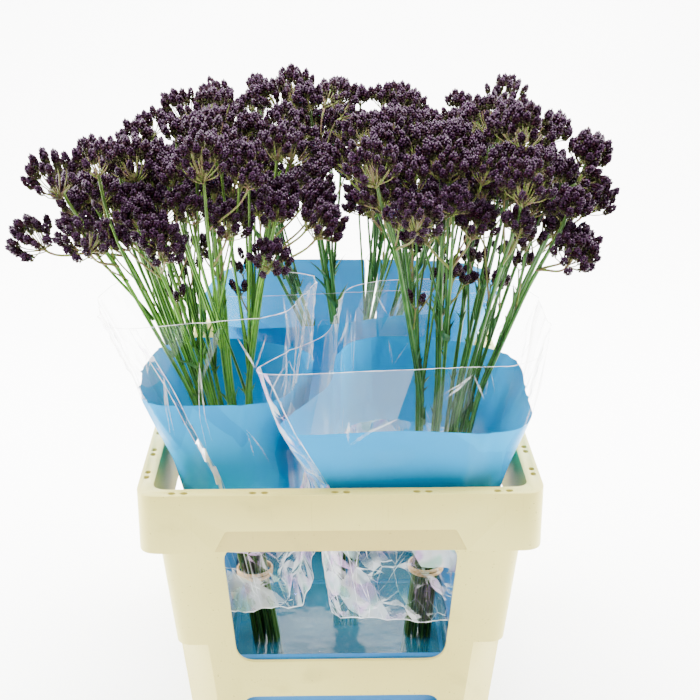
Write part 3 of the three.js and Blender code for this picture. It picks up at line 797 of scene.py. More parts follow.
@dataclass
class Planting:
    """Lays out every stem by the same rule and seeds as the solids, in millimetres and radians."""

    bunches: tuple[Bunch, ...]
    foot: float = 6.4
    waist: float = 120.0
    crown: float = 500.0
    radius: float = 2.3
    branch_radius: float = 1.4
    pitch: float = 6.2
    foot_splay: float = 0.15
    clearance: float = 0.6
    path_height: float = 310.0
    top_stretch: float = 60.0
    tuck: float = 0.14
    stray: float = 0.1
    reach: float = 1.1
    ahead: float = 0.6
    uprightness: float = 0.45
    ring: int = 5
    spikelet_lengths: Span = (0.9, 1.1)
    tangent_step: float = 10.0
    canopy_top: float = 526.0
    canopy_middle: float = -10.0
    canopy_half: float = 215.0
    canopy_fall: float = 28.0
    canopy_bend: float = 2.6
    canopy_slope: float = 0.05
    top_tries: int = 120
    top_below: float = 18.0
    top_play: Span = (-20.0, 14.0)
    top_sink: float = 0.2
    top_head: Span = (21.0, 23.0)
    top_shrink: float = 0.0025
    branch_tries: int = 40
    branch_turns: tuple[float, ...] = (0.0, math.pi, math.pi / 2, -math.pi / 2)
    branch_drops: tuple[Span, ...] = ((46, 66), (46, 66), (60, 86), (60, 86))
    branch_lowest: float = 430.0
    branch_stray: float = 0.8
    branch_lean: Span = (0.3, 0.7)
    branch_length: Span = (32.0, 58.0)
    branch_head: Span = (18.0, 21.5)
    head_overlap: float = 8.0
    leaf_tries: int = 6
    leaf_heights: Span = (318.0, 372.0)
    leaf_turn: float = 0.3
    leaf_lean: float = 0.38
    leaf_length: Span = (25.0, 33.0)
    leaf_room: float = 3.2
    leaf_width: float = 0.19
    cycle: int = 4
    single_branch_at: int = 2
    leaf_pair_at: int = 1

    def axis_at(self, bunch: Bunch, z: float) -> Span:
        """Centre of a bunch at height z.

        Args:
            bunch: the bunch.
            z: the height.

        Returns:
            Its X and Y.
        """
        t = (z - self.foot) / (self.crown - self.foot)
        return (
            bunch.foot[0] + (bunch.crown[0] - bunch.foot[0]) * t,
            bunch.foot[1] + (bunch.crown[1] - bunch.foot[1]) * t,
        )

    def stem_at(self, stem: Stem, z: float) -> Point:
        """A stem's place at height z: close packed at the band, fanned out at the crown.

        Args:
            stem: the stem.
            z: the height.

        Returns:
            The point.
        """
        cx, cy = self.axis_at(stem.bunch, z)
        rise = (z - self.waist) / (self.crown - self.waist)
        spread = rise**stem.bunch.spread if rise > 0 else 0.0
        pack = 1 - spread if rise > 0 else 1 + (self.foot_splay * (self.waist - z)) / self.waist
        return (
            cx + stem.packed[0] * pack + stem.fanned[0] * spread,
            cy + stem.packed[1] * pack + stem.fanned[1] * spread,
            z,
        )

    def canopy_height(self, x: float, y: float) -> float:
        """Height of the flower canopy over a point: nearly level, lower at its ends and towards the back."""
        aside = abs((x - self.canopy_middle) / self.canopy_half)
        return self.canopy_top - self.canopy_fall * aside**self.canopy_bend - self.canopy_slope * y

    def direction_at(self, stem: Stem, z: float) -> Point:
        """The way a stem grows at height z."""
        return normal(minus(self.stem_at(stem, z + self.tangent_step), self.stem_at(stem, z)))

    def is_clear(self, pieces: list[Room], owner: Stem, others: list[Stem]) -> bool:
        """Whether the pieces keep clear of every other stem.

        Args:
            pieces: the rooms of the new pieces.
            owner: the stem that they belong to.
            others: the other stems.

        Returns:
            True where no gap is too small.
        """
        for other in others:
            if other is owner:
                continue
            for taken in other.taken:
                for piece in pieces:
                    if piece.gap(taken) <= self.clearance:
                        return False
        return True

    @staticmethod
    def leaning(tangent: Point, azimuth: float, angle: float) -> Point:
        """A direction at an angle to the stem, turned round it by an azimuth.

        Args:
            tangent: the stem's direction.
            azimuth: angle round the stem.
            angle: angle from the stem.

        Returns:
            A unit vector.
        """
        flat = (math.cos(azimuth), math.sin(azimuth), 0.0)
        across = normal(plus(flat, tangent, -dot(flat, tangent)))
        upright = math.cos(angle)
        along = (tangent[0] * upright, tangent[1] * upright, tangent[2] * upright)
        return plus(along, across, math.sin(angle))

    def head_at(self, end: Point, direction: Point, radius: float, draws: SeededDraws) -> Head:
        """The head at the end of a stem or branch.

        Args:
            end: the stem's or branch's end.
            direction: which way that end points.
            radius: the head's radius.
            draws: where its lengths come from.

        Returns:
            The head.
        """
        up = self.uprightness
        leant = (direction[0] * (1 - up), direction[1] * (1 - up), direction[2] + (1 - direction[2]) * up)
        axis = normal(leant)
        lengths = [draws.between(*self.spikelet_lengths) for _ in range(1 + 2 * self.ring)]
        return Head(plus(end, axis, radius * self.ahead), axis, radius, lengths)

    def lay(self) -> list[Stem]:
        """Lays out all stems, then their branches, then their leaves.

        Returns:
            The stems in the order of their nodes.
        """
        stems: list[Stem] = []
        for bunch in self.bunches:
            draws = SeededDraws(bunch.seed)
            for row in range(bunch.rows):
                for column in range(bunch.columns):
                    gx = (2 * column) / (bunch.columns - 1) - 1
                    gy = (2 * row) / (bunch.rows - 1) - 1
                    tuck = 1 - self.tuck * gx * gx * gy * gy
                    half_x = (self.pitch * (bunch.columns - 1)) / 2
                    half_y = (self.pitch * (bunch.rows - 1)) / 2
                    fanned_x = (gx + draws.between(-self.stray, self.stray)) * bunch.reach[0]
                    fanned_y = (gy + draws.between(-self.stray, self.stray)) * bunch.reach[1]
                    name = f"stem_{bunch.name}_{row * bunch.columns + column + 1:02d}"
                    stem = Stem(bunch, len(stems), name, (gx * half_x * tuck, gy * half_y * tuck),
                                (fanned_x, fanned_y), draws)
                    self.raise_stem(stem, stems)
                    stems.append(stem)
        for stem in stems:
            self.add_branches(stem, stems)
        for stem in stems:
            self.add_leaves(stem, stems)
        return stems

    def raise_stem(self, stem: Stem, stems: list[Stem]) -> None:
        """Grows a stem to a height at which its top head clears the stems that stand already.

        Args:
            stem: the stem, which is changed.
            stems: all stems that stand already.
        """
        draws = stem.draws
        over = self.stem_at(stem, self.crown)
        for attempt in range(self.top_tries):
            lowest = self.top_play[0] - self.top_sink * attempt
            radius = draws.between(*self.top_head) * (1 - self.top_shrink * attempt)
            play = draws.between(lowest, self.top_play[1])
            stem.top = self.canopy_height(over[0], over[1]) - self.top_below + play
            heights = [self.foot, self.waist, self.path_height, stem.top - self.top_stretch, stem.top]
            stem.path = [self.stem_at(stem, z) for z in heights]
            stem.taken = [Room(a, b, self.radius) for a, b in zip(stem.path, stem.path[1:])]
            tangent = normal(minus(stem.path[-1], stem.path[-2]))
            stem.heads = [self.head_at(stem.path[-1], tangent, radius, draws)]
            stem.taken.append(stem.heads[0].room(self.reach))
            if self.is_clear(stem.taken, stem, stems):
                break

    def add_branches(self, stem: Stem, stems: list[Stem]) -> None:
        """One or two branches below the top head, kept where they clear every other stem.

        Args:
            stem: the stem, which is changed.
            stems: all stems that stand already.
        """
        draws = stem.draws
        azimuth = draws.draw() * 2 * math.pi
        most = 1 if stem.number % self.cycle == self.single_branch_at else 2
        for turn, drop in zip(self.branch_turns, self.branch_drops):
            if len(stem.branches) >= most:
                return
            height = max(stem.top - draws.between(*drop), self.branch_lowest)
            start = self.stem_at(stem, height)
            tangent = self.direction_at(stem, height)
            for _ in range(self.branch_tries):
                around = azimuth + turn + draws.between(-self.branch_stray, self.branch_stray)
                direction = self.leaning(tangent, around, draws.between(*self.branch_lean))
                end = plus(start, direction, draws.between(*self.branch_length))
                head = self.head_at(end, direction, draws.between(*self.branch_head), draws)
                room = [Room(start, end, self.branch_radius), head.room(self.reach)]
                apart = head.room(self.reach).gap(stem.heads[0].room(self.reach))
                if apart > -self.head_overlap and self.is_clear(room, stem, stems):
                    stem.branches.append(Branch(start, end, direction))
                    stem.heads.append(head)
                    stem.taken.extend(room)
                    break

    def add_leaves(self, stem: Stem, stems: list[Stem]) -> None:
        """A pair of small leaves at a node, kept where they clear every other stem.

        Args:
            stem: the stem that bears them.
            stems: all stems that stand already.
        """
        draws = stem.draws
        azimuth = draws.draw() * 2 * math.pi
        height = draws.between(*self.leaf_heights)
        if stem.number % self.cycle != self.leaf_pair_at:
            return
        base = self.stem_at(stem, height)
        tangent = self.direction_at(stem, height)
        for turn in (0.0, math.pi):
            for attempt in range(self.leaf_tries):
                around = azimuth + turn + attempt * self.leaf_turn
                direction = self.leaning(tangent, around, self.leaf_lean)
                length = draws.between(*self.leaf_length)
                room = Room(base, plus(base, direction, length), self.leaf_room)
                if self.is_clear([room], stem, stems):
                    stem.leaves.append(Leaf(base, direction, tangent, length, length * self.leaf_width))
                    stem.taken.append(room)
                    break


# ------------------------------------------------------------------ flowering stems


class Tissue(Enum):
    """Material numbers of a flowering stem's tissues."""

    RIB = 0
    SHADED_GROOVE = 1
    PEDUNCLE = 2
    BRACT = 3
    CALYX = 4
    PETAL = 5
    LEAF = 6


@dataclass(frozen=True)
class SprayHabit:
    """Where a kind of side spray leaves its stem, how far it leans from it and how long it is."""

    drop: Span
    lowest: float
    lean: Span
    length: Span


@dataclass
class SideSprays:
    """Finds room for the smaller side heads that close the canopy, and for low sprigs of a few spikelets.

    Lengths are in millimetres and angles in radians. A candidate is kept where its distance from the heads
    that stand already, as a part of both radii together, is more than the closeness.
    """

    planting: Planting
    rounds: int = 5
    tries: int = 18
    lowest: float = 428.0
    depth: float = 74.0
    above: float = 3.0
    closeness: float = 0.58
    nodding_share: float = 0.08
    nodding_rise: Span = (0.05, 0.1)
    rise: Span = (0.35, 0.7)
    long_share: float = 0.5
    long: SprayHabit = SprayHabit((110, 215), 312, (0.06, 0.26), (80, 175))
    short: SprayHabit = SprayHabit((42, 110), 400, (0.12, 0.75), (24, 62))
    inwards_below: float = 380.0
    inwards_stray: float = 1.4
    radii: Span = (11.5, 17.0)
    spikelets: tuple[int, int] = (8, 13)
    lengths: Span = (0.82, 1.14)
    half_x: float = 206.0
    half_y: float = 190.0
    middle_x: float = -10.0
    sprig_share: float = 0.7
    sprig_heights: Span = (372.0, 404.0)
    sprig_stray: float = 0.9
    sprig_lean: Span = (0.3, 0.65)
    sprig_length: Span = (18.0, 34.0)
    sprig_rise: float = 0.6
    sprig_radius: float = 9.5
    sprig_ahead: float = 6.0
    sprig_spikelets: tuple[int, int] = (2, 5)
    sprig_lengths: Span = (0.8, 1.2)
    seed: int = 71

    def inwards(self, stem: Stem, start: Point) -> float:
        """The azimuth from a place on a stem to the middle of its bunch."""
        cx, cy = self.planting.axis_at(stem.bunch, start[2])
        return math.atan2(cy - start[1], cx - start[0])

    @staticmethod
    def spikelet_draws(rng: Draws, counts: tuple[int, int], lengths: Span) -> list[float]:
        """Draws how many spikelets a head has, and their lengths."""
        return [float(rng.uniform(*lengths)) for _ in range(rng.randint(*counts))]

    def candidate(self, stem: Stem, rng: Draws) -> tuple[Branch, Head]:
        """Draws one side head of a stem, with the branch that carries it.

        Args:
            stem: the stem.
            rng: the seeded draws.

        Returns:
            The branch and its head.
        """
        nods = rng.uniform() < self.nodding_share
        habit = self.long if rng.uniform() < self.long_share else self.short
        height = max(stem.top - rng.uniform(*habit.drop), habit.lowest)
        start = self.planting.stem_at(stem, height)
        tangent = self.planting.direction_at(stem, height)
        lean = rng.uniform(*habit.lean)
        if height < self.inwards_below:
            azimuth = self.inwards(stem, start) + rng.uniform(-self.inwards_stray, self.inwards_stray)
        else:
            azimuth = rng.uniform(0, 2 * math.pi)
        direction = self.planting.leaning(tangent, azimuth, lean)
        end = plus(start, direction, rng.uniform(*habit.length))
        radius = rng.uniform(*self.radii)
        up, kept = self.nodding_rise if nods else (rng.uniform(*self.rise), 1.0)
        rise = direction[2] * (1 - up) * kept + up
        axis = normal((direction[0] * (1 - up), direction[1] * (1 - up), rise))
        lengths = self.spikelet_draws(rng, self.spikelets, self.lengths)
        head = Head(plus(end, axis, radius * self.planting.ahead), axis, radius, lengths)
        return Branch(start, end, direction), head

    def grow(self, stems: list[Stem]) -> None:
        """Gives every stem the side heads that its neighbours leave room for, then the sprigs.

        Args:
            stems: the laid out stems, which receive their sprays.
        """
        rng = Draws(self.seed)
        centres = [head.centre for stem in stems for head in stem.heads]
        radii = [head.radius for stem in stems for head in stem.heads]
        for _ in range(self.rounds):
            for stem in stems:
                best, best_room = None, self.closeness
                for _ in range(self.tries):
                    branch, head = self.candidate(stem, rng)
                    x, y, z = head.centre
                    roof = self.planting.canopy_height(x, y) + self.above
                    if not max(self.lowest, roof - self.depth * rng.uniform(0.4, 1)) < z < roof:
                        continue
                    if abs(x - self.middle_x) > self.half_x or abs(y) > self.half_y:
                        continue
                    gaps = np.linalg.norm(np.array(centres) - np.array(head.centre), axis=1)
                    room = float((gaps / (np.array(radii) + head.radius)).min())
                    if room > best_room:
                        best, best_room = (branch, head), room
                if best:
                    stem.sprays.append(best)
                    centres.append(best[1].centre)
                    radii.append(best[1].radius)
        for stem in stems:
            if rng.uniform() < self.sprig_share:
                self.add_sprig(stem, rng)

    def add_sprig(self, stem: Stem, rng: Draws) -> None:
        """Adds one short low shoot with a few spikelets, on the side of the bunch's middle.

        Args:
            stem: the stem, which is changed.
            rng: the seeded draws.
        """
        height = rng.uniform(*self.sprig_heights)
        start = self.planting.stem_at(stem, height)
        azimuth = self.inwards(stem, start) + rng.uniform(-self.sprig_stray, self.sprig_stray)
        tangent = self.planting.direction_at(stem, height)
        direction = self.planting.leaning(tangent, azimuth, rng.uniform(*self.sprig_lean))
        end = plus(start, direction, rng.uniform(*self.sprig_length))
        axis = normal(plus(direction, (0, 0, 1), self.sprig_rise))
        lengths = self.spikelet_draws(rng, self.sprig_spikelets, self.sprig_lengths)
        head = Head(plus(end, axis, self.sprig_ahead), axis, self.sprig_radius, lengths)
        stem.sprays.append((Branch(start, end, direction), head))


@dataclass(frozen=True)
class Whorl:
    """One ring of bracts or buds on a spikelet, in millimetres and radians."""

    height: float
    out: float
    lean: float
    count: int
    length: float
    width: float
    tissue: Tissue


@dataclass
class Spikelet:
    """One spikelet: a thin curved stalk under whorls of bracts and round buds that close to a pointed tip."""

    whorls: tuple[Whorl, ...] = (
        Whorl(-13.4, 0.4, 0.50, 4, 4.6, 1.20, Tissue.BRACT),
        Whorl(-11.3, 0.8, 0.46, 4, 4.3, 1.45, Tissue.BRACT),
        Whorl(-9.0, 1.1, 0.42, 5, 4.2, 1.60, Tissue.CALYX),
        Whorl(-6.8, 1.1, 0.38, 5, 4.0, 1.65, Tissue.CALYX),
        Whorl(-4.7, 0.8, 0.28, 4, 3.8, 1.60, Tissue.PETAL),
        Whorl(-3.4, 0.0, 0.00, 1, 3.8, 1.30, Tissue.PETAL),
    )
    budding: float = 0.35
    body: float = 14.5
    stalk_radius: float = 0.5
    waist: float = 0.54
    corners: tuple[float, ...] = (0.3, 2.394, 4.489)
    turn_play: Span = (-0.25, 0.25)
    lean_play: Span = (-0.08, 0.08)
    length_play: Span = (0.86, 1.14)

    def bead(self, root: Array, way: Array, length: float, width: float) -> Shell:
        """One bract or bud: a small three-sided double cone that is shaded round.

        Args:
            root: the lower end.
            way: a unit vector to the upper end.
            length: from end to end.
            width: the waist's radius.

        Returns:
            Its vertices and triangles.
        """
        a, b = cross_axes(way)
        waist = root + way * length * self.waist
        ring = [waist + width * (math.cos(t) * a + math.sin(t) * b) for t in self.corners]
        vertices = np.array([root, *ring, root + way * length])
        faces = np.array([[0, 2, 1], [0, 3, 2], [0, 1, 3], [4, 1, 2], [4, 2, 3], [4, 3, 1]])
        return vertices, faces

    def template(self, rng: Draws) -> tuple[Array, Array, Array]:
        """Builds one variant of the body, with its tip at the origin and its foot below it.

        Args:
            rng: seeded draws that make the variants differ.

        Returns:
            Vertices, faces and material numbers.
        """
        store = MeshStore()
        for number, whorl in enumerate(self.whorls):
            for k in range(whorl.count):
                angle = 2 * math.pi * (k + 0.5 * (number % 2)) / whorl.count
                angle += rng.uniform(*self.turn_play)
                out = np.array([math.cos(angle), math.sin(angle), 0.0])
                lean = whorl.lean + rng.uniform(*self.lean_play)
                way = out * math.sin(lean) + np.array([0, 0, math.cos(lean)])
                root = out * whorl.out + np.array([0, 0, whorl.height])
                length = whorl.length * rng.uniform(*self.length_play)
                bead = self.bead(root, way, length, whorl.width)
                opens = whorl.tissue is Tissue.CALYX and rng.uniform() < self.budding
                store.add(*bead, (Tissue.PETAL if opens else whorl.tissue).value)
        return np.vstack(store.vertices), np.vstack(store.faces), np.concatenate(store.slots)


@dataclass
class FloweringStems:
    """Builds every stem as one fine piece over its solid, in millimetres and radians."""

    planting: Planting
    spikelet: Spikelet = field(default_factory=Spikelet)
    variants: int = 6
    variant_seed: int = 5
    spread: float = 0.63
    neck_depth: float = 0.72
    neck_play: Span = (-0.08, 0.12)
    highest: float = 573.0
    upper_polar: float = 1.10715
    lower_polar: float = 2.03444
    inner_polar: float = 0.58
    inner_count: int = 4
    inner_lengths: Span = (0.8, 1.02)
    outer_polar: float = 0.84
    outer_play: float = 0.2
    outer_lengths: Span = (0.78, 0.98)
    golden_turn: float = 2.39996
    turn_play: float = 0.25
    dome: float = 1.18
    sprig_polar: float = 0.75
    elbow: Span = (0.62, 0.30)
    size_play: Span = (0.86, 1.12)
    tuck: float = 1.5
    side_stalk: float = 0.75
    long_stalk: float = 62.0
    long_thicker: float = 1.5
    stalk_rise: float = 0.1
    stalk_handles: Span = (0.38, 0.32)
    stalk_radii: tuple[float, ...] = (1.35, 1.1, 1.0, 0.95, 0.92, 0.9, 0.86, 0.84, 0.95, 1.1)
    path_step: float = 11.0
    bend_reach: float = 16.0
    joint_swell: float = 0.22
    joint_reach: float = 5.0
    groove: float = 0.82
    stem_narrows: tuple[Span, ...] = ((0, 1.0), (300, 0.84))
    neck_narrows: Span = (60.0, 0.66)
    top_radius: float = 1.25
    leaf_steps: int = 18
    leaf_columns: tuple[float, ...] = (-1.0, -0.55, 0.0, 0.55, 1.0)
    leaf_teeth: float = 0.09
    leaf_belly: float = 0.6
    leaf_point: float = 1.3
    leaf_foot: float = 0.35
    leaf_droop: float = 0.5
    leaf_fold: float = 0.75
    solid_leaf: Point = (1.05, 0.5, 0.16)
    leaf_pairs: tuple[tuple[Span, Span], ...] = (
        ((178, 215), (12, 18)), ((250, 300), (14, 22)), ((338, 396), (12, 24)),
    )
    pair_turn: float = 1.571
    pair_lean: Span = (0.18, 0.34)
    pair_width: float = 0.1
    pair_curl: Span = (0.0, 0.14)
    bract_way: Span = (0.9, 0.55)
    bract_out: float = 1.2
    bract_length: Span = (7.0, 11.0)
    bract_width: float = 1.1
    bract_curl: float = 0.1

    def __post_init__(self) -> None:
        """Draws the spikelet variants."""
        rng = Draws(self.variant_seed)
        self.templates = [self.spikelet.template(rng) for _ in range(self.variants)]

    def solid_ways(self, head: Head, rng: Draws) -> list[Point]:
        """Polar angle, azimuth and length of a large head's spikelets: the solid's and those between them.

        Args:
            head: the head.
            rng: the seeded draws.

        Returns:
            Polar angle, azimuth and length of each.
        """
        upper, lower = self.upper_polar * self.spread, self.lower_polar * self.spread
        ring = range(self.planting.ring)
        step = 2 * math.pi / len(ring)
        ways = [(0.0, 0.0, head.lengths[0])]
        ways += [(upper, k * step, head.lengths[1 + k]) for k in ring]
        ways += [(lower, (k + 0.5) * step, head.lengths[1 + len(ring) + k]) for k in ring]
        for k in range(self.inner_count):
            ways.append((upper * self.inner_polar, (k + 0.5) * step, rng.uniform(*self.inner_lengths)))
        for k in ring:
            azimuth = k * step + rng.uniform(-self.outer_play, self.outer_play)
            ways.append((lower * self.outer_polar, azimuth, rng.uniform(*self.outer_lengths)))
        return ways

    def spray_ways(self, head: Head, rng: Draws) -> list[Point]:
        """Polar angle, azimuth and length of a side head's spikelets, spread like seeds of a sunflower.

        Args:
            head: the head.
            rng: the seeded draws.

        Returns:
            Polar angle, azimuth and length of each.
        """
        count = len(head.lengths)
        ways = []
        for i, length in enumerate(head.lengths):
            polar = self.dome * math.sqrt((i + 0.2) / count) if count > 4 else self.sprig_polar
            azimuth = self.golden_turn * i + rng.uniform(-self.turn_play, self.turn_play)
            ways.append((polar, azimuth, length))
        return ways

    def add_spikelet(self, store: MeshStore, neck: Array, tip: Array, axis: Array,
                     rng: Draws) -> None:
        """Adds one spikelet whose stalk leaves the neck outwards and bends up along the head's axis.

        Args:
            store: where it goes.
            neck: where its stalk starts.
            tip: where its buds end.
            axis: the way the head points.
            rng: seeded draws.
        """
        away = tip - neck
        rise = float(away @ axis)
        elbow = neck + (away - axis * rise) * self.elbow[0] + axis * rise * self.elbow[1]
        way = unit(tip - elbow)
        size = rng.uniform(*self.size_play)
        size = min(size, 0.9 * float(np.linalg.norm(tip - elbow)) / self.spikelet.body + 0.25)
        foot = tip - way * self.spikelet.body * size
        a, b = cross_axes(way)
        turn = rng.uniform(0, 2 * math.pi)
        x_axis = math.cos(turn) * a + math.sin(turn) * b
        axes = np.stack([x_axis, np.cross(way, x_axis), way])
        vertices, faces, slots = self.templates[rng.randint(self.variants)]
        store.add(tip + (vertices * size) @ axes, faces, slots)
        t = np.linspace(0, 1, 4)[:, None]
        stalk = (1 - t) ** 2 * neck + 2 * t * (1 - t) * elbow + t * t * (foot + way * self.tuck)
        radii = np.full(len(stalk), self.spikelet.stalk_radius)
        store.add(*tube(stalk, radii, round_section(3)), Tissue.PEDUNCLE.value)

    def add_head(self, store: MeshStore, head: Head, ways: list[Point], rng: Draws) -> None:
        """Adds a head's spikelets, which spread from its neck.

        Args:
            store: where they go.
            head: the head.
            ways: polar angle, azimuth and length of each spikelet's tip, seen from the head's centre.
            rng: seeded draws.
        """
        centre, axis = np.array(head.centre), np.array(head.axis)
        neck = centre - axis * head.radius * self.neck_depth
        place = Vector((0, 0, 1)).rotation_difference(Vector(head.axis))
        for polar, azimuth, reach in ways:
            across = math.sin(polar)
            flat = (across * math.cos(azimuth), across * math.sin(azimuth), math.cos(polar))
            tip = centre + np.array(place @ Vector(flat)) * head.radius * reach
            tip[2] = min(tip[2], self.highest)
            start = neck + axis * rng.uniform(*self.neck_play) * head.radius
            self.add_spikelet(store, start, tip, axis, rng)

    def add_stalk(self, store: MeshStore, branch: Branch, head: Head, radius: float) -> None:
        """Adds the curved stalk from the stem to a head's neck; a long one is ribbed like the stem itself.

        Args:
            store: the mesh that it is added to.
            branch: the branch that carries the head.
            head: the head.
            radius: the stem's radius where the stalk starts.
        """
        start, axis = np.array(branch.start), np.array(head.axis)
        neck = np.array(head.centre) - axis * head.radius * (self.neck_depth - self.stalk_rise)
        span = float(np.linalg.norm(neck - start))
        t = np.linspace(0, 1, len(self.stalk_radii))[:, None]
        handle_a = start + np.array(branch.direction) * span * self.stalk_handles[0]
        handle_b = neck - axis * span * self.stalk_handles[1]
        path = (1 - t) ** 3 * start + 3 * t * (1 - t) ** 2 * handle_a
        path = path + 3 * t**2 * (1 - t) * handle_b + t**3 * neck
        long = span > self.long_stalk
        radii = radius * (self.long_thicker if long else 1.0) * np.array(self.stalk_radii)
        vertices, faces = tube(path, radii, round_section(6))
        # A long stalk's groove faces take the darker material: painted shade.
        stripes = np.where(np.arange(len(faces)) % 3 == 0, Tissue.SHADED_GROOVE.value, Tissue.RIB.value)
        store.add(vertices, faces, stripes if long else Tissue.PEDUNCLE.value)

    def stem_path(self, stem: Stem) -> Array:
        """The solid's path with its bends eased, one point about every centimetre.

        Args:
            stem: the stem.

        Returns:
            The path's points.
        """
        points = np.array(stem.path)
        foot, top = points[0, 2], points[-1, 2]
        heights = np.append(np.arange(foot, top, self.path_step), top)
        shifts = np.linspace(-self.bend_reach, self.bend_reach, 7)
        windows = np.clip(heights[:, None] + shifts, foot, top)
        x = np.interp(windows, points[:, 2], points[:, 0]).mean(axis=1)
        y = np.interp(windows, points[:, 2], points[:, 1]).mean(axis=1)
        return np.stack([x, y, heights], 1)

    def add_main(self, store: MeshStore, stem: Stem, rng: Draws) -> None:
        """Adds the square stem: ribs at its corners, grooves between them in a darker material as painted
        shade, swollen joints.

        Args:
            store: the mesh that it is added to.
            stem: the stem.
            rng: the seeded draws.
        """
        path = self.stem_path(stem)
        base = self.planting.radius
        below, share = self.neck_narrows
        heights = [*(height for height, _ in self.stem_narrows), stem.top - below, stem.top]
        widths = [*(base * part for _, part in self.stem_narrows), base * share, self.top_radius]
        radii = np.interp(path[:, 2], heights, widths)
        joints = [branch.start[2] for branch in stem.branches] + [leaf.base[2] for leaf in stem.leaves[:1]]
        for joint in joints:
            aside = (path[:, 2] - joint) / self.joint_reach
            radii = radii * (1 + self.joint_swell * np.exp(-(aside**2)))
        section = round_section(12) * np.array([1.0, self.groove, self.groove] * 4)[:, None]
        vertices, faces = tube(path, radii, section, rng.uniform(0, 1.57))
        # Groove faces take the darker material: painted shade in the grooves.
        slots = np.where(np.arange(len(faces)) % 3 == 1, Tissue.SHADED_GROOVE.value, Tissue.RIB.value)
        store.add(vertices, faces, slots)

    def add_leaf(self, store: MeshStore, base: Array, way: Array, tangent: Array,
                 length: float, width: float, curl: float) -> None:
        """Adds one lanceolate leaf with a finely toothed edge, folded along its midrib and curling outwards.

        Args:
            store: where it goes.
            base: its foot on the stem.
            way: the way it points.
            tangent: the way the stem grows.
            length: its length.
            width: half its width.
            curl: how far its tip bends back, as a part of its length.
        """
        across = unit(np.cross(way, tangent))
        inner = unit(np.cross(across, way))
        if float(inner @ tangent) < 0:
            inner = -inner
        steps, columns = self.leaf_steps, self.leaf_columns
        t = np.linspace(0, 1, steps + 1)
        teeth = 1 + self.leaf_teeth * np.where(np.arange(steps + 1) % 2 == 0, -1, 1)
        blade = np.power(np.sin(np.pi * np.power(t, self.leaf_belly)), self.leaf_point)
        half = width * blade * teeth + self.leaf_foot * (1 - t)
        out = unit(way - tangent * float(way @ tangent))
        bend = out - self.leaf_droop * tangent
        spine = base + np.outer(t * length, way) + np.outer(curl * length * t**2, bend)
        grid = [spine + np.outer(half * c, across) + np.outer(half * self.leaf_fold * abs(c), inner)
                for c in columns]
        vertices = np.stack(grid, 1).reshape(-1, 3)
        row, column = np.meshgrid(np.arange(steps), np.arange(len(columns) - 1), indexing="ij")
        a = (row * len(columns) + column).ravel()
        b = a + len(columns)
        store.add(vertices, np.stack([a, a + 1, b + 1, b], 1), Tissue.LEAF.value)

    def add_leaves(self, store: MeshStore, stem: Stem, rng: Draws) -> None:
        """Adds the leaf pairs: the solid's, small ones down the stem, and bracts where branches part.

        Args:
            store: the mesh that they are added to.
            stem: the stem that bears them.
            rng: the seeded draws.
        """
        longer, narrower, curl = self.solid_leaf
        for leaf in stem.leaves:
            self.add_leaf(store, np.array(leaf.base), np.array(leaf.direction), np.array(leaf.tangent),
                          leaf.length * longer, leaf.width * narrower, curl)
        azimuth = rng.uniform(0, math.pi)
        for level, (heights, lengths) in enumerate(self.leaf_pairs):
            height = rng.uniform(*heights)
            tangent = np.array(self.planting.direction_at(stem, height))
            base = np.array(self.planting.stem_at(stem, height))
            for turn in (0.0, math.pi):
                around = azimuth + turn + level * self.pair_turn
                way = np.array(self.planting.leaning(tuple(tangent), around, rng.uniform(*self.pair_lean)))
                length = rng.uniform(*lengths)
                curl = rng.uniform(*self.pair_curl)
                self.add_leaf(store, base + way, way, tangent, length, length * self.pair_width, curl)
        for branch in [*stem.branches, *(spray for spray, _ in stem.sprays)]:
            tangent = np.array(self.planting.direction_at(stem, branch.start[2]))
            direction = np.array(branch.direction)
            out = unit(direction - tangent * float(direction @ tangent))
            way = unit(tangent * self.bract_way[0] + out * self.bract_way[1])
            base = np.array(branch.start) + out * self.bract_out
            length = rng.uniform(*self.bract_length)
            self.add_leaf(store, base, way, tangent, length, self.bract_width, self.bract_curl)

    def build(self, stems: list[Stem], bright: list[Material], dark: list[Material]) -> list[Piece]:
        """Builds one object for each stem.

        Args:
            stems: the laid out stems.
            bright: a material for each tissue, of the left bunch.
            dark: a material for each tissue, of the other bunches.

        Returns:
            The objects, each standing for its solid.
        """
        pieces = []
        for stem in stems:
            rng = Draws(100 + stem.number)
            store = MeshStore()
            self.add_main(store, stem, rng)
            for branch, head in zip(stem.branches, stem.heads[1:]):
                self.add_stalk(store, branch, head, 1.0)
            for head in stem.heads:
                self.add_head(store, head, self.solid_ways(head, rng), rng)
            for branch, head in stem.sprays:
                self.add_stalk(store, branch, head, self.side_stalk)
                self.add_head(store, head, self.spray_ways(head, rng), rng)
            self.add_leaves(store, stem, rng)
            piece = store.build(f"{stem.name}_grown", bright if stem.bunch.name == "left" else dark)
            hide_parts(stem.name)
            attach(piece, ROOT)
            pieces.append(piece)
        return pieces


# ------------------------------------------------------------------ crate


def rounded_polygon(corners: list[Span], radius: float, segments: int) -> Array:
    """A polygon whose corners are eased by quadratic curves.

    Args:
        corners: the corners in order.
        radius: how far from the corner each curve starts.
        segments: straight pieces in each curve.

    Returns:
        The outline's points.
    """
    count = len(corners)
    outline = []
    for i, corner in enumerate(corners):
        here = np.array(corner, float)
        before = here + unit(np.array(corners[i - 1], float) - here) * radius
        after = here + unit(np.array(corners[(i + 1) % count], float) - here) * radius
        for t in np.linspace(0, 1, segments + 1):
            outline.append((1 - t) ** 2 * before + 2 * t * (1 - t) * here + t * t * after)
    return np.array(outline)


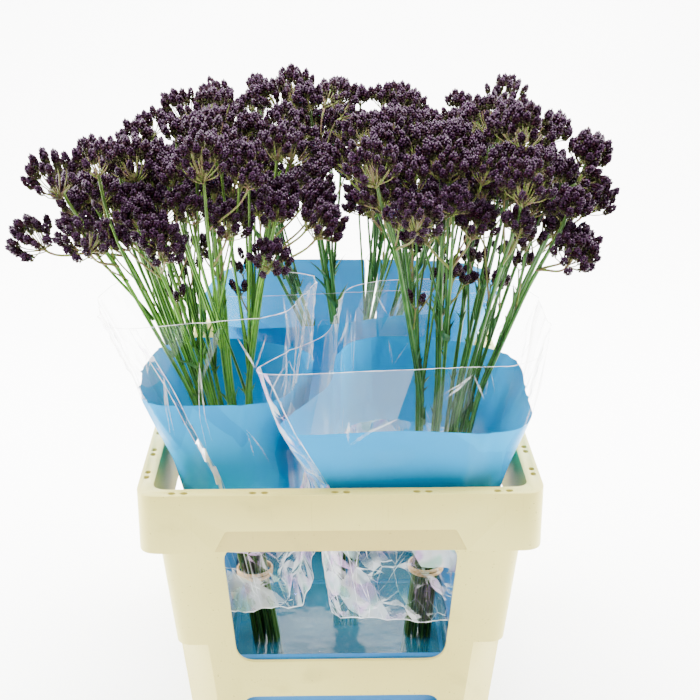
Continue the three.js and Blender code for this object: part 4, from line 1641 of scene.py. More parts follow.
def rectangle(half_x: float, half_y: float) -> list[Span]:
    """The corners of a rectangle about the origin."""
    return [(-half_x, -half_y), (half_x, -half_y), (half_x, half_y), (-half_x, half_y)]


def add_prism(work: bmesh.types.BMesh, low: Array, high: Array) -> None:
    """Adds a closed solid between two outlines of the same number of points, in millimetres.

    Args:
        work: the mesh it goes into.
        low: N by 3 lower outline, anticlockwise seen from above.
        high: N by 3 upper outline.
    """
    bottom, top = ([work.verts.new(point * MM) for point in outline] for outline in (low, high))
    work.faces.new(list(reversed(bottom)))
    work.faces.new(top)
    for i in range(len(low)):
        j = (i + 1) % len(low)
        work.faces.new([bottom[i], bottom[j], top[j], top[i]])


def solid(name: str, *prisms: Line) -> Piece:
    """One object of one or more prisms, each given by its lower and its upper outline.

    Args:
        name: the object's name.
        prisms: the lower and the upper outline of each prism.

    Returns:
        The object.
    """
    work = bmesh.new()
    for low, high in prisms:
        add_prism(work, low, high)
    bmesh.ops.recalc_face_normals(work, faces=work.faces)
    mesh = bpy.data.meshes.new(name)
    work.to_mesh(mesh)
    work.free()
    return linked(name, mesh)


def boolean(target: Piece, tools: list[Piece], operation: str) -> None:
    """Joins tools to a target or cuts them out of it, and removes them.

    Args:
        target: the solid that is kept.
        tools: the other solids.
        operation: UNION or DIFFERENCE.
    """
    for tool in tools:
        modifier = target.modifiers.new(operation, "BOOLEAN")
        modifier.operation = operation
        modifier.solver = "MANIFOLD"
        modifier.object = tool
        apply_modifiers(target)
        bpy.data.objects.remove(tool, do_unlink=True)


def apply_modifiers(thing: Piece) -> None:
    """Turns an object's modifiers into its mesh.

    Args:
        thing: the object.
    """
    graph = bpy.context.evaluated_depsgraph_get()
    mesh = bpy.data.meshes.new_from_object(thing.evaluated_get(graph))
    thing.modifiers.clear()
    thing.data = mesh


@dataclass(frozen=True)
class Opening:
    """An opening or a recess in the crate's sides, as seen on its front, with the radius of its corners."""

    bottom: float
    top: float
    half_bottom: float
    half_top: float
    radius: float

    def corners(self, wider: float) -> list[Span]:
        """Its corners in order, with both halves wider by a distance."""
        low, high = self.half_bottom + wider, self.half_top + wider
        return [(-low, self.bottom), (low, self.bottom), (high, self.top), (-high, self.top)]


@dataclass
class Crate:
    """The windowed auction crate: a tapered body with a broad collar, eight windows and drained flanges."""

    height: float = 280.0
    half_x: float = 150.0
    half_y: float = 200.0
    corner_radius: float = 16.0
    wall: float = 3.0
    body_half_x: float = 141.5
    body_half_y: float = 191.5
    body_radius: float = 14.0
    draft: float = 0.095
    collar_bottom: float = 233.0
    step_height: float = 141.0
    corner_cut: float = 25.0
    windows: tuple[Opening, ...] = (Opening(124, 231, 81, 89, 15), Opening(28, 90, 72, 79, 13))
    recess: Opening = Opening(232, 251, 94.5, 85, 2)
    recess_depth: float = 2.0
    side_extra: float = 46.0
    play: float = 1.0
    edge: float = 1.1
    sharp_deg: float = 32.0
    arc: int = 8
    slot_half: Span = (3.0, 2.3)
    slot_sides: int = 10
    slot_shift: float = 4.4
    slot_inset: float = 5.0
    slot_pitch: float = 40.7
    slot_places: tuple[float, ...] = (-119, -60, 0, 60, 119)

    def upright(self, outline: Array, bottom: float, top: float, draft: float = 0.0,
                reference: float = 0.0) -> Piece:
        """A prism on an outline whose sides lean in below a reference height.

        Args:
            outline: the outline at the reference height.
            bottom: the lower end's height.
            top: the upper end's height.
            draft: how far a side leans in for one millimetre of height.
            reference: the height at which the outline is true.

        Returns:
            The prism.
        """
        rings = []
        for z in (bottom, top):
            inset = draft * (reference - z)
            flat = outline - np.sign(outline) * inset
            rings.append(np.column_stack([flat, np.full(len(flat), z)]))
        return solid("prism", rings)

    def body(self, offset: float, bottom: float, top: float) -> list[Piece]:
        """The body's upper part with round corners and its lower part with cut ones, inset by an offset.

        Args:
            offset: distance of the inset.
            bottom: the lower end's height.
            top: the upper end's height.

        Returns:
            The upper and the lower part.
        """
        half_x, half_y = self.body_half_x - offset, self.body_half_y - offset
        cut = self.corner_cut - offset * (2 - math.sqrt(2))
        step = self.step_height + offset
        upper = rounded_polygon(rectangle(half_x, half_y), self.body_radius - offset, self.arc)
        corner = [(half_x, half_y - cut), (half_x - cut, half_y)]
        left = [(-x, y) for x, y in reversed(corner)]
        lower = np.array([*corner, *left, *((-x, -y) for x, y in [*corner, *left])])
        return [
            self.upright(upper, step, top, self.draft, self.height),
            self.upright(lower, bottom, step + 0.02, self.draft, self.height),
        ]

    def through(self, opening: Opening, low: float, high: float, sideways: bool) -> Piece:
        """A cutter of an opening's outline that runs along Y, or along X where it is sideways.

        Args:
            opening: the opening.
            low: one end of the cutter.
            high: the other end.
            sideways: whether it runs along X.

        Returns:
            The cutter.
        """
        corners = opening.corners(self.side_extra if sideways else 0.0)
        outline = rounded_polygon(corners, opening.radius, 7 if opening.radius > 5 else 3)
        ends = []
        for place in (low, high):
            columns = [outline[:, 0], outline[:, 1]]
            columns.insert(0 if sideways else 1, np.full(len(outline), place))
            ends.append(np.column_stack(columns))
        return solid("prism", ends)

    def openings(self) -> list[Piece]:
        """The cutters of the windows and of the hand recesses.

        Returns:
            The cutters.
        """
        sides = ((self.half_y, False), (self.half_x, True))
        cutters = []
        for window in self.windows:
            for half, sideways in sides:
                reach = half - self.wall - self.play
                cutters.append(self.through(window, -reach, reach, sideways))
        for sign, low, high in ((-1, -self.play, self.recess_depth), (1, -self.recess_depth, self.play)):
            for half, sideways in sides:
                cutters.append(self.through(self.recess, sign * half + low, sign * half + high, sideways))
        return cutters

    def drain_holes(self) -> Piece:
        """One cutter of all drain holes: pairs of small slots along the four flanges.

        Returns:
            The cutter.
        """
        across, along = self.half_y - self.slot_inset, self.half_x - self.slot_inset
        pairs = [(x, sign * across, True) for x in self.slot_places for sign in (-1, 1)]
        rows = np.arange(-4, 5) * self.slot_pitch
        pairs += [(sign * along, y, False) for y in rows for sign in (-1, 1)]
        outline = round_section(self.slot_sides) * np.array(self.slot_half)
        bottom, top = self.height - 10.0, self.height + 5.0
        prisms = []
        for x, y, along_x in pairs:
            for shift in (-self.slot_shift, self.slot_shift):
                middle = (x + shift, y) if along_x else (x, y + shift)
                flat = np.array(middle) + (outline if along_x else outline[:, ::-1])
                prisms.append([np.column_stack([flat, np.full(len(flat), z)]) for z in (bottom, top)])
        return solid("drain_holes", *prisms)

    def build(self, materials: list[Material]) -> Piece:
        """Moulds the crate with eased edges.

        Args:
            materials: its finish, then that of the hand recesses, whose darker colour is painted shade under
                the collar.

        Returns:
            The crate, standing for its solid.
        """
        outside = rounded_polygon(rectangle(self.half_x, self.half_y), self.corner_radius, self.arc)
        channel = rounded_polygon(rectangle(self.half_x - self.wall, self.half_y - self.wall),
                                  self.corner_radius - self.wall, self.arc)
        crate = self.upright(outside, self.collar_bottom, self.height)
        boolean(crate, [self.upright(channel, self.collar_bottom - 1, self.height - self.wall)], "DIFFERENCE")
        boolean(crate, self.body(0, 0, self.height), "UNION")
        boolean(crate, self.body(self.wall, self.wall, self.height + 1), "DIFFERENCE")
        boolean(crate, self.openings(), "DIFFERENCE")
        boolean(crate, [self.drain_holes()], "DIFFERENCE")
        work = bmesh.new()
        work.from_mesh(crate.data)
        bmesh.ops.remove_doubles(work, verts=work.verts, dist=0.02 * MM)
        bmesh.ops.dissolve_limit(work, angle_limit=0.01, verts=work.verts, edges=work.edges)
        work.to_mesh(crate.data)
        work.free()
        bevel = crate.modifiers.new("ease", "BEVEL")
        bevel.width = self.edge * MM
        bevel.segments = 2
        bevel.limit_method = "ANGLE"
        bevel.angle_limit = math.radians(self.sharp_deg)
        bevel.use_clamp_overlap = True
        apply_modifiers(crate)
        crate.name = "crate_moulded"
        crate.data.name = "crate_moulded"
        crate.data.materials.clear()
        for material in materials:
            crate.data.materials.append(material)
        # Faces of the hand recesses take the second material, whose darker colour is painted shade.
        for face in crate.data.polygons:
            x, y, z = (c / MM for c in face.center)
            depth = min(self.half_x - abs(x), self.half_y - abs(y))
            face.material_index = int(self.recess.bottom < z < self.recess.top and 0.6 < depth < 2.4)
        shade_by_angle(crate, self.sharp_deg)
        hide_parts("crate")
        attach(crate, ROOT)
        return crate


def shade_by_angle(thing: Piece, degrees: float) -> None:
    """Shades an object smooth, with sharp edges above an angle.

    Args:
        thing: the object.
        degrees: the angle above which an edge is sharp.
    """
    mesh = thing.data
    mesh.polygons.foreach_set("use_smooth", np.full(len(mesh.polygons), True))
    work = bmesh.new()
    work.from_mesh(mesh)
    limit = math.radians(degrees)
    for edge in work.edges:
        edge.smooth = len(edge.link_faces) == 2 and edge.calc_face_angle(0.0) < limit
    work.to_mesh(mesh)
    work.free()


# ------------------------------------------------------------------ tub, water and bands


@dataclass
class Tub:
    """The blue tub inside the crate, with a turned lip and a softly rounded floor."""

    bottom: float = 3.3
    top: float = 118.0
    half_x: float = 110.0
    half_y: float = 158.0
    radius: float = 24.0
    draft: float = 0.07
    wall: float = 2.0
    floor: float = 2.5
    lip: float = 4.5
    lip_height: float = 4.0
    arc: int = 8

    def ring(self, out: float, z: float) -> Array:
        """One level of the tub, moved out from its wall line.

        Args:
            out: distance out from the wall line.
            z: the height.

        Returns:
            The level's points.
        """
        inset = self.draft * (self.top - z)
        radius = max(self.radius + out, 4.0)
        outline = rounded_polygon(rectangle(self.half_x + out, self.half_y + out), radius, self.arc)
        flat = outline - np.sign(outline) * inset
        return np.column_stack([flat, np.full(len(flat), z)])

    def build(self, material: Material) -> Piece:
        """Builds the tub as one closed skin, from the middle of its underside round to its inner floor.

        Args:
            material: its material.

        Returns:
            The tub.
        """
        low, top, wall = self.bottom, self.top, self.wall
        under_lip, floor = top - self.lip_height, low + self.floor
        levels = [
            (-6.0, low), (-2.2, low + 0.4), (-0.6, low + 1.6), (0.0, low + 4.0), (0.0, low + 40),
            (0.0, low + 41), (0.0, under_lip - 0.6), (0.4, under_lip - 0.1), (self.lip - 0.6, under_lip),
            (self.lip, under_lip + 0.6), (self.lip, top - 0.9), (self.lip - 0.8, top), (-wall + 0.8, top),
            (-wall, top - 0.8), (-wall, low + 41), (-wall, low + 40), (-wall, floor + 5.0),
            (-wall - 1.4, floor + 1.6), (-wall - 5.0, floor),
        ]
        rings = [self.ring(out, z) for out, z in levels]
        count, points = len(rings[0]), len(rings) * len(rings[0])
        vertices = np.vstack([*rings, [[0, 0, low]], [[0, 0, floor]]])
        ends = [fan(points, 0, count, False), fan(points + 1, points - count, count, True)]
        store = MeshStore()
        store.add(vertices, np.vstack([walls(count, len(rings)), *ends]))
        tub = store.build("tub_moulded", [material])
        shade_by_angle(tub, 40)
        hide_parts("tub")
        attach(tub, ROOT)
        return tub


@dataclass
class Water:
    """The shallow water in the tub: its slowly rippled skin climbs a little at the wall."""

    rings: int = 40
    ripple: float = 0.15
    climb: float = 1.2
    gap: float = 0.5

    def build(self, tub: Tub, material: Material) -> Piece:
        """Fills the tub to the height of the solid.

        Args:
            tub: the tub that holds it.
            material: its finish.

        Returns:
            The water, standing for its solid.
        """
        low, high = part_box("water")
        bottom, top = low[2] / MM, high[2] / MM - self.climb
        shore = tub.ring(-tub.wall - self.gap, top)
        count = len(shore)
        shares = np.linspace(0, 1, self.rings + 1)[1:]
        flat = shares[:, None, None] * shore[None, :, :2]
        x, y = flat[..., 0], flat[..., 1]
        waves = np.sin(x / 11 + 0.6 * np.sin(y / 17)) * np.cos(y / 13 + 0.5)
        z = top + self.ripple * waves * (1 - shares[:, None] ** 6) + self.climb * shares[:, None] ** 40
        skin = np.concatenate([flat, z[..., None]], -1).reshape(-1, 3)
        foot = tub.ring(-tub.wall - self.gap, bottom)
        vertices = np.vstack([skin, foot, [[0, 0, top]], [[0, 0, bottom]]])
        middle, under = (self.rings + 1) * count, self.rings * count
        faces = [walls(count, self.rings + 1)[:, [0, 3, 2, 1]], fan(middle, 0, count, True),
                 fan(middle + 1, under, count, False)]
        store = MeshStore()
        store.add(vertices, np.vstack(faces))
        water = store.build("water_rippled", [material])
        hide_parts("water")
        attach(water, ROOT)
        return water


@dataclass
class ElasticBand:
    """The rubber band round a bunch: two flat turns that lie on each other."""

    thickness: float = 1.5
    height: float = 6.0
    turns: int = 2
    steps: int = 64
    slack: float = 0.2
    twist: float = 0.5
    wave: float = 0.25

    def build(self, bunch: Bunch, material: Material) -> Piece:
        """Builds the band of one bunch in the place of its solid.

        Args:
            bunch: the bunch.
            material: its material.

        Returns:
            The band.
        """
        low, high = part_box(f"band_{bunch.name}")
        centre = (np.array(low) + np.array(high)) / 2 / MM
        reach = (high[0] - low[0]) / 2 / MM
        middle = reach - self.thickness / 2 - self.slack
        strip = self.height / self.turns
        half_w, half_t = strip * 0.42, self.thickness / 2
        outline = [(-half_t, -half_w), (half_t * 0.9, -half_w), (half_t, half_w * 0.6),
                   (half_t * 0.7, half_w), (-half_t, half_w)]
        sides = len(outline)
        faces = walls(sides, self.steps + 1) % (sides * self.steps)
        angles = np.linspace(0, 2 * math.pi, self.steps, endpoint=False)
        store = MeshStore()
        for turn in range(self.turns):
            lift = (turn - (self.turns - 1) / 2) * strip + self.twist * np.sin(angles + turn * 2.4)
            radius = middle + self.wave * np.sin(3 * angles + turn)
            ring = np.stack([np.cos(angles) * radius, np.sin(angles) * radius, lift], 1) + centre
            vertices = []
            for point, angle in zip(ring, angles):
                out = np.array([math.cos(angle), math.sin(angle), 0.0])
                vertices += [point + out * a + np.array([0, 0, b]) for a, b in outline]
            store.add(np.array(vertices), faces)
        band = store.build(f"band_{bunch.name}_rubber", [material])
        shade_by_angle(band, 50)
        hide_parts(f"band_{bunch.name}")
        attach(band, ROOT)
        return band


# ------------------------------------------------------------------ film sleeves


class Film(Enum):
    """Material numbers of a sleeve's film."""

    CLEAR = 0
    PRINTED = 1
    WELD = 2
    SEAM = 3
    FOLD = 4


@dataclass(frozen=True)
class SleeveCut:
    """One sleeve: its outlines from hem to open top, and where its printed band and its seam lie.

    A swing is how far an edge dips on the far side of its turn. The seam is given as shares of the way
    round, at the hem and at the top, and the strip is half the seam's width in columns.
    """

    name: str
    heights: tuple[float, ...]
    outlines: tuple[tuple[Span, ...], ...]
    band_low: float
    band_high: float
    band_swing: float
    band_turn: float
    edge_swing: float
    edge_turn: float
    seam: Span
    strip: float
    seed: int


@dataclass
class FilmSleeve:
    """A film sleeve on the outlines of its solid: crumpled low down, taut over the rim, milky at its edges.

    Lengths are in millimetres, apart from those of the edges, the fans of pressed folds and the creases,
    which are in the film's rows and columns.
    """

    cut: SleeveCut
    around: int = 168
    clear_low: int = 26
    printed: int = 24
    clear_high: int = 20
    fold_heights: tuple[float, ...] = (150, 228, 258, 290, 340, 400)
    fold_depths: tuple[float, ...] = (5.6, 4.8, 1.8, 1.6, 2.4, 3.2)
    fold_gaps: tuple[float, ...] = (12, 13, 20, 24, 26, 26)
    fold_stretch: float = 2.2
    fold_closeness: float = 0.8
    throws: int = 5000
    sheet_margin: float = 20.0
    sheet_overlap: float = 70.0
    pleats: int = 16
    pleat_slant: float = 0.5
    pleat_width: Span = (2.5, 5.0)
    pleat_depth: float = 2.0
    pleat_turn: float = 262.0
    pleat_from: float = 250.0
    pleat_ease: float = 40.0
    rim_height: float = 280.0
    rim_reach: float = 24.0
    rim_press: float = 0.96
    rim_inset: float = 1.4
    inset: float = 0.9
    strip_lift: float = 0.12
    cut_edge: float = 0.14
    hem_edge: float = 0.22
    seam_edge: float = 0.16
    fans: int = 13
    fan_rows: Span = (0.5, 0.97)
    fan_floor: float = 0.48
    fan_least: float = 8.0
    fan_aside: float = 8.0
    fan_half: Span = (0.08, 0.42)
    pinches: int = 44
    pinch_above: float = 3.0
    crease_reach: Span = (2.5, 9.0)
    crease_half: Span = (0.03, 0.1)
    top_margin: float = 1.2

    def outline_at(self, index: int) -> Array:
        """One outline as a smooth closed curve, the same curve as the solid's.

        Args:
            index: number of the outline, from the lowest.

        Returns:
            The curve's points.
        """
        points = np.array([(x, y) for x, y in self.cut.outlines[index]], float)
        count = len(points)
        out = []
        for step in range(self.around):
            place = step / self.around * count
            i = int(place)
            p0, p1, p2, p3 = (points[(i + d) % count] for d in (-1, 0, 1, 2))
            steps = ((p0, p1), (p1, p2), (p2, p3))
            t0, t1, t2 = (max(float(np.linalg.norm(b - a)) ** 0.5, 1e-4) for a, b in steps)
            m1 = ((p1 - p0) / t0 - (p2 - p0) / (t0 + t1) + (p2 - p1) / t1) * t1
            m2 = ((p2 - p1) / t1 - (p3 - p1) / (t1 + t2) + (p3 - p2) / t2) * t1
            u = place - i
            out.append((2 * u**3 - 3 * u**2 + 1) * p1 + (u**3 - 2 * u**2 + u) * m1
                       + (-2 * u**3 + 3 * u**2) * p2 + (u**3 - u**2) * m2)
        return np.array(out)

    def folds(self, girth: float, rng: Draws) -> BVHTree:
        """Creases the flat film: its fold corners are scattered and joined by flat facets.

        Args:
            girth: distance round the sleeve.
            rng: seeded draws.

        Returns:
            The creased sheet over distance round the sleeve and height, as a tree that rays can be cast at.
        """
        low, high = self.cut.heights[0] - self.sheet_margin, self.cut.heights[-1] + self.sheet_margin
        spots = np.empty((0, 2))
        for _ in range(self.throws):
            spot = np.array([rng.uniform(0, girth), rng.uniform(low, high)])
            gap = float(np.interp(spot[1], self.fold_heights, self.fold_gaps))
            aside = np.abs(spots[:, 0] - spot[0])
            aside = np.minimum(aside, girth - aside)
            apart = np.hypot(aside, (spots[:, 1] - spot[1]) / self.fold_stretch)
            if not len(spots) or apart.min() > gap * self.fold_closeness:
                spots = np.vstack([spots, spot])
        depths = rng.uniform(-1, 1, len(spots)) * np.interp(spots[:, 1], self.fold_heights, self.fold_depths)
        place, overlap = spots[:, 0], self.sheet_overlap
        copies = [(0.0, place > -1), (-girth, place > girth - overlap), (girth, place < overlap)]
        flat = np.vstack([spots[chosen] + np.array([shift, 0.0]) for shift, chosen in copies])
        depth = np.concatenate([depths[chosen] for _, chosen in copies])
        places, _, facets, *_ = delaunay_2d_cdt([Vector(p) for p in flat], [], [], 0, 1e-6)
        corners = [(p.x, p.y, float(d)) for p, d in zip(places, depth)]
        return BVHTree.FromPolygons(corners, facets)

    def push(self, u: Array, z: Array, rng: Draws) -> Array:
        """How far each point of the film stands in from the sleeve's outline.

        Args:
            u: distance round the sleeve of each column.
            z: height of each point.
            rng: seeded draws.

        Returns:
            Millimetres inwards, one for each point.
        """
        girth = float(u[-1] + u[1])
        sheet = self.folds(girth, rng)
        depth = np.zeros_like(z)
        for row, column in np.ndindex(z.shape):
            hit, *_ = sheet.ray_cast(Vector((u[column], z[row, column], 100)), Vector((0, 0, -1)))
            depth[row, column] = hit.z if hit else 0.0
        for _ in range(self.pleats):
            foot = rng.uniform(0, girth)
            slant = rng.uniform(-self.pleat_slant, self.pleat_slant)
            width = rng.uniform(*self.pleat_width)
            aside = (u - foot - slant * (z - self.pleat_turn) + girth / 2) % girth - girth / 2
            risen = np.clip((z - self.pleat_from) / self.pleat_ease, 0, 1)
            depth -= self.pleat_depth * np.clip(1 - np.abs(aside / width), 0, 1) * risen
        at_rim = np.exp(-(((z - self.rim_height) / self.rim_reach) ** 2))
        held = np.where(depth < 0, depth * (1 - self.rim_press * at_rim), depth)
        return held + self.rim_inset * at_rim + self.inset

    def ribbon(self, skin: Array, store: MeshStore, near: Line, far: Line, kind: Film) -> None:
        """Lays a thin strip on both faces of the film.

        Args:
            skin: rows by columns by 3, the film's points.
            store: where the strip goes.
            near: rows and columns of one of its edges.
            far: rows and columns of its other edge.
            kind: its material.
        """
        across = np.roll(skin, -1, axis=1) - np.roll(skin, 1, axis=1)
        out = np.cross(across, np.gradient(skin, axis=0))
        out /= np.linalg.norm(out, axis=-1)[..., None]
        places = np.vstack([self.on_skin(skin, *near), self.on_skin(skin, *far)])
        ways = np.vstack([self.on_skin(out, *near), self.on_skin(out, *far)])
        count = len(near[0])
        k = np.arange(count - 1)
        faces = np.stack([k, k + 1, count + k + 1, count + k], 1)
        for lift in (-self.strip_lift, self.strip_lift):
            store.add(places + ways * lift, faces, kind.value)

    def welds(self, skin: Array, store: MeshStore) -> None:
        """Adds the milky lines along the cut top, the hem and the double seam.

        Args:
            skin: the film's points, rows by columns by 3.
            store: the mesh that they are added to.
        """
        rows, columns = skin.shape[:2]
        place = np.arange(columns + 1.0)
        top, hem = np.full(columns + 1, rows - 1.0), np.full(columns + 1, 0.0)
        rise = np.linspace(0, rows - 1.0, rows * 2)
        middle = self.seam_at(rise, rows)
        lines = [(top, place, -self.cut_edge, 0.0), (hem, place, self.hem_edge, 0.0)]
        lines += [(rise, middle + shift, 0.0, self.seam_edge) for shift in (-self.cut.strip, self.cut.strip)]
        for row, column, up, aside in lines:
            self.ribbon(skin, store, (row, column), (row + up, column + aside), Film.WELD)

    def fold_highlights(self, skin: Array, store: MeshStore, rng: Draws) -> None:
        """Adds long pale slivers, painted highlights along pressed folds, that fan out, up or down, from
        pinched spots of the taut film.

        Args:
            skin: the film's points, rows by columns by 3.
            store: the mesh that they are added to.
            rng: the seeded draws.
        """
        rows, columns = skin.shape[:2]
        t = np.linspace(0, 1, 16)
        for number in range(self.fans):
            pinch = rng.uniform(0, columns)
            low, high = sorted(rng.uniform(*self.fan_rows, 2) * (rows - 1))
            for _ in range(rng.randint(1, 4)):
                reach = max(high - low, self.fan_least) * rng.uniform(0.7, 1.0)
                start, way = (high, -1) if number % 2 else (max(high - reach, self.fan_floor * rows), 1)
                row = np.clip(start + way * t * reach, 0, rows - self.top_margin)
                column = pinch + t * rng.uniform(-self.fan_aside, self.fan_aside)
                half = rng.uniform(*self.fan_half) * np.sin(math.pi * t**0.8)
                self.ribbon(skin, store, (row, column - half), (row, column + half), Film.FOLD)

    def creases(self, skin: Array, store: MeshStore, rng: Draws) -> None:
        """Adds fine creases, drawn in milky film as painted highlights, that run out in all directions from
        pinched spots of the crumpled film.

        Args:
            skin: the film's points, rows by columns by 3.
            store: the mesh that they are added to.
            rng: the seeded draws.
        """
        rows, columns = skin.shape[:2]
        t = np.linspace(0, 1, 8)
        for _ in range(self.pinches):
            foot, pinch = rng.uniform(0, self.clear_low + self.pinch_above), rng.uniform(0, columns)
            for _ in range(rng.randint(3, 8)):
                angle, reach = rng.uniform(0, 2 * math.pi), rng.uniform(*self.crease_reach)
                row = np.clip(foot + t * reach * math.sin(angle), 0, rows - self.top_margin)
                column = pinch + t * reach * math.cos(angle)
                half = rng.uniform(*self.crease_half) * np.sin(math.pi * t**0.8)
                # The creases are painted highlights.
                self.ribbon(skin, store, (row, column - half), (row + half, column + half), Film.WELD)

    def seam_at(self, row: Array, rows: int) -> Array:
        """The column in the middle of the doubled seam at each row."""
        return np.interp(row, [0, rows - 1], self.cut.seam) * self.around

    @staticmethod
    def on_skin(skin: Array, row: Array, column: Array) -> Array:
        """Points of the film at fractional rows and columns.

        Args:
            skin: the film's points, rows by columns by 3.
            row: fractional rows.
            column: fractional columns.

        Returns:
            The points.
        """
        rows, columns = skin.shape[:2]
        i = np.clip(np.floor(row).astype(int), 0, rows - 2)
        k = np.floor(column).astype(int)
        a, b = (row - i)[:, None], (column - k)[:, None]
        k, n = k % columns, (k + 1) % columns
        below, above = (skin[row, k] * (1 - b) + skin[row, n] * b for row in (i, i + 1))
        return below * (1 - a) + above * a

    @staticmethod
    def dipped(height: float, swing: float, turn: float, angle: Array) -> Array:
        """Height of an edge all round, which dips on the far side of its turn."""
        return height - swing * (0.5 - 0.5 * np.cos(angle - turn))

    def heights(self) -> Array:
        """Height of the film's points, by rows and columns, from its wavy hem to its cut top.

        Returns:
            The heights, rows by columns.
        """
        cut = self.cut
        angle = 2 * math.pi * np.arange(self.around) / self.around
        foot = cut.heights[0] + 3.5 * np.abs(np.sin(angle * 2.5 + 1.7 * cut.seed))
        foot = foot + 1.5 * np.abs(np.sin(angle * 9.3))
        top = self.dipped(cut.heights[-1], cut.edge_swing, cut.edge_turn, angle)
        band_high = np.minimum(self.dipped(cut.band_high, cut.band_swing, cut.band_turn, angle), top - 2)
        band_low = np.minimum(cut.band_low + 2 * np.sin(angle * 3), band_high - 8)
        parts = ((foot, band_low, self.clear_low), (band_low, band_high, self.printed),
                 (band_high, top, self.clear_high))
        rows = [low + (high - low) * t for low, high, count in parts
                for t in np.linspace(0, 1, count, endpoint=False)]
        return np.array([*rows, top])

    def skin(self, rng: Draws) -> Array:
        """The film's points, rows by columns by 3: the solid's outline at each height, moved by folds.

        Args:
            rng: the seeded draws.

        Returns:
            The points.
        """
        heights = self.cut.heights
        rings = np.array([self.outline_at(i) for i in range(len(heights))])
        step = np.linalg.norm(np.roll(rings[2], -1, axis=0) - rings[2], axis=1)
        u = np.concatenate([[0], np.cumsum(step)[:-1]])
        z = self.heights()
        x, y = (np.stack([np.interp(z[:, k], heights, rings[:, k, axis]) for k in range(self.around)], 1)
                for axis in (0, 1))
        along_x, along_y = (np.roll(side, -1, axis=1) - np.roll(side, 1, axis=1) for side in (x, y))
        size = np.hypot(along_x, along_y) + 1e-9
        push = self.push(u, z, rng)
        return np.stack([x - along_y / size * push, y + along_x / size * push, z], -1)

    def build(self, materials: list[Material]) -> Piece:
        """Builds the sleeve as a single skin of film.

        Args:
            materials: one for each kind of film.

        Returns:
            The sleeve, standing for its solid.
        """
        rng = Draws(self.cut.seed)
        skin = self.skin(rng)
        faces = walls(self.around, len(skin))
        row, column = np.divmod(np.arange(len(faces)), self.around)
        in_band = (row >= self.clear_low) & (row < self.clear_low + self.printed)
        half_way = self.around / 2
        aside = (column + 0.5 - self.seam_at(row + 0.5, len(skin)) + half_way) % self.around - half_way
        kinds = np.where(in_band, Film.PRINTED.value, Film.CLEAR.value)
        kinds = np.where(np.abs(aside) < self.cut.strip, Film.SEAM.value, kinds)
        store = MeshStore()
        store.add(skin.reshape(-1, 3), faces, kinds)
        self.welds(skin, store)
        self.fold_highlights(skin, store, rng)
        self.creases(skin, store, rng)
        sleeve = store.build(f"sleeve_{self.cut.name}_film", materials)
        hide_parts(f"sleeve_{self.cut.name}")
        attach(sleeve, ROOT)
        return sleeve


# ------------------------------------------------------------------ studio


@dataclass(frozen=True)
class Lamp:
    """One soft square light: its place, what it faces and its width, in metres, and its power in watts."""

    name: str
    place: Point
    target: Point
    size: float
    power: float

    def build(self) -> None:
        """Hangs the light."""
        lamp = bpy.data.lights.new(self.name, "AREA")
        lamp.shape = "SQUARE"
        lamp.size = self.size
        lamp.energy = self.power
        thing = linked(self.name, lamp)
        thing.location = self.place
        thing.rotation_euler = (Vector(self.target) - Vector(self.place)).to_track_quat("-Z", "Y").to_euler()


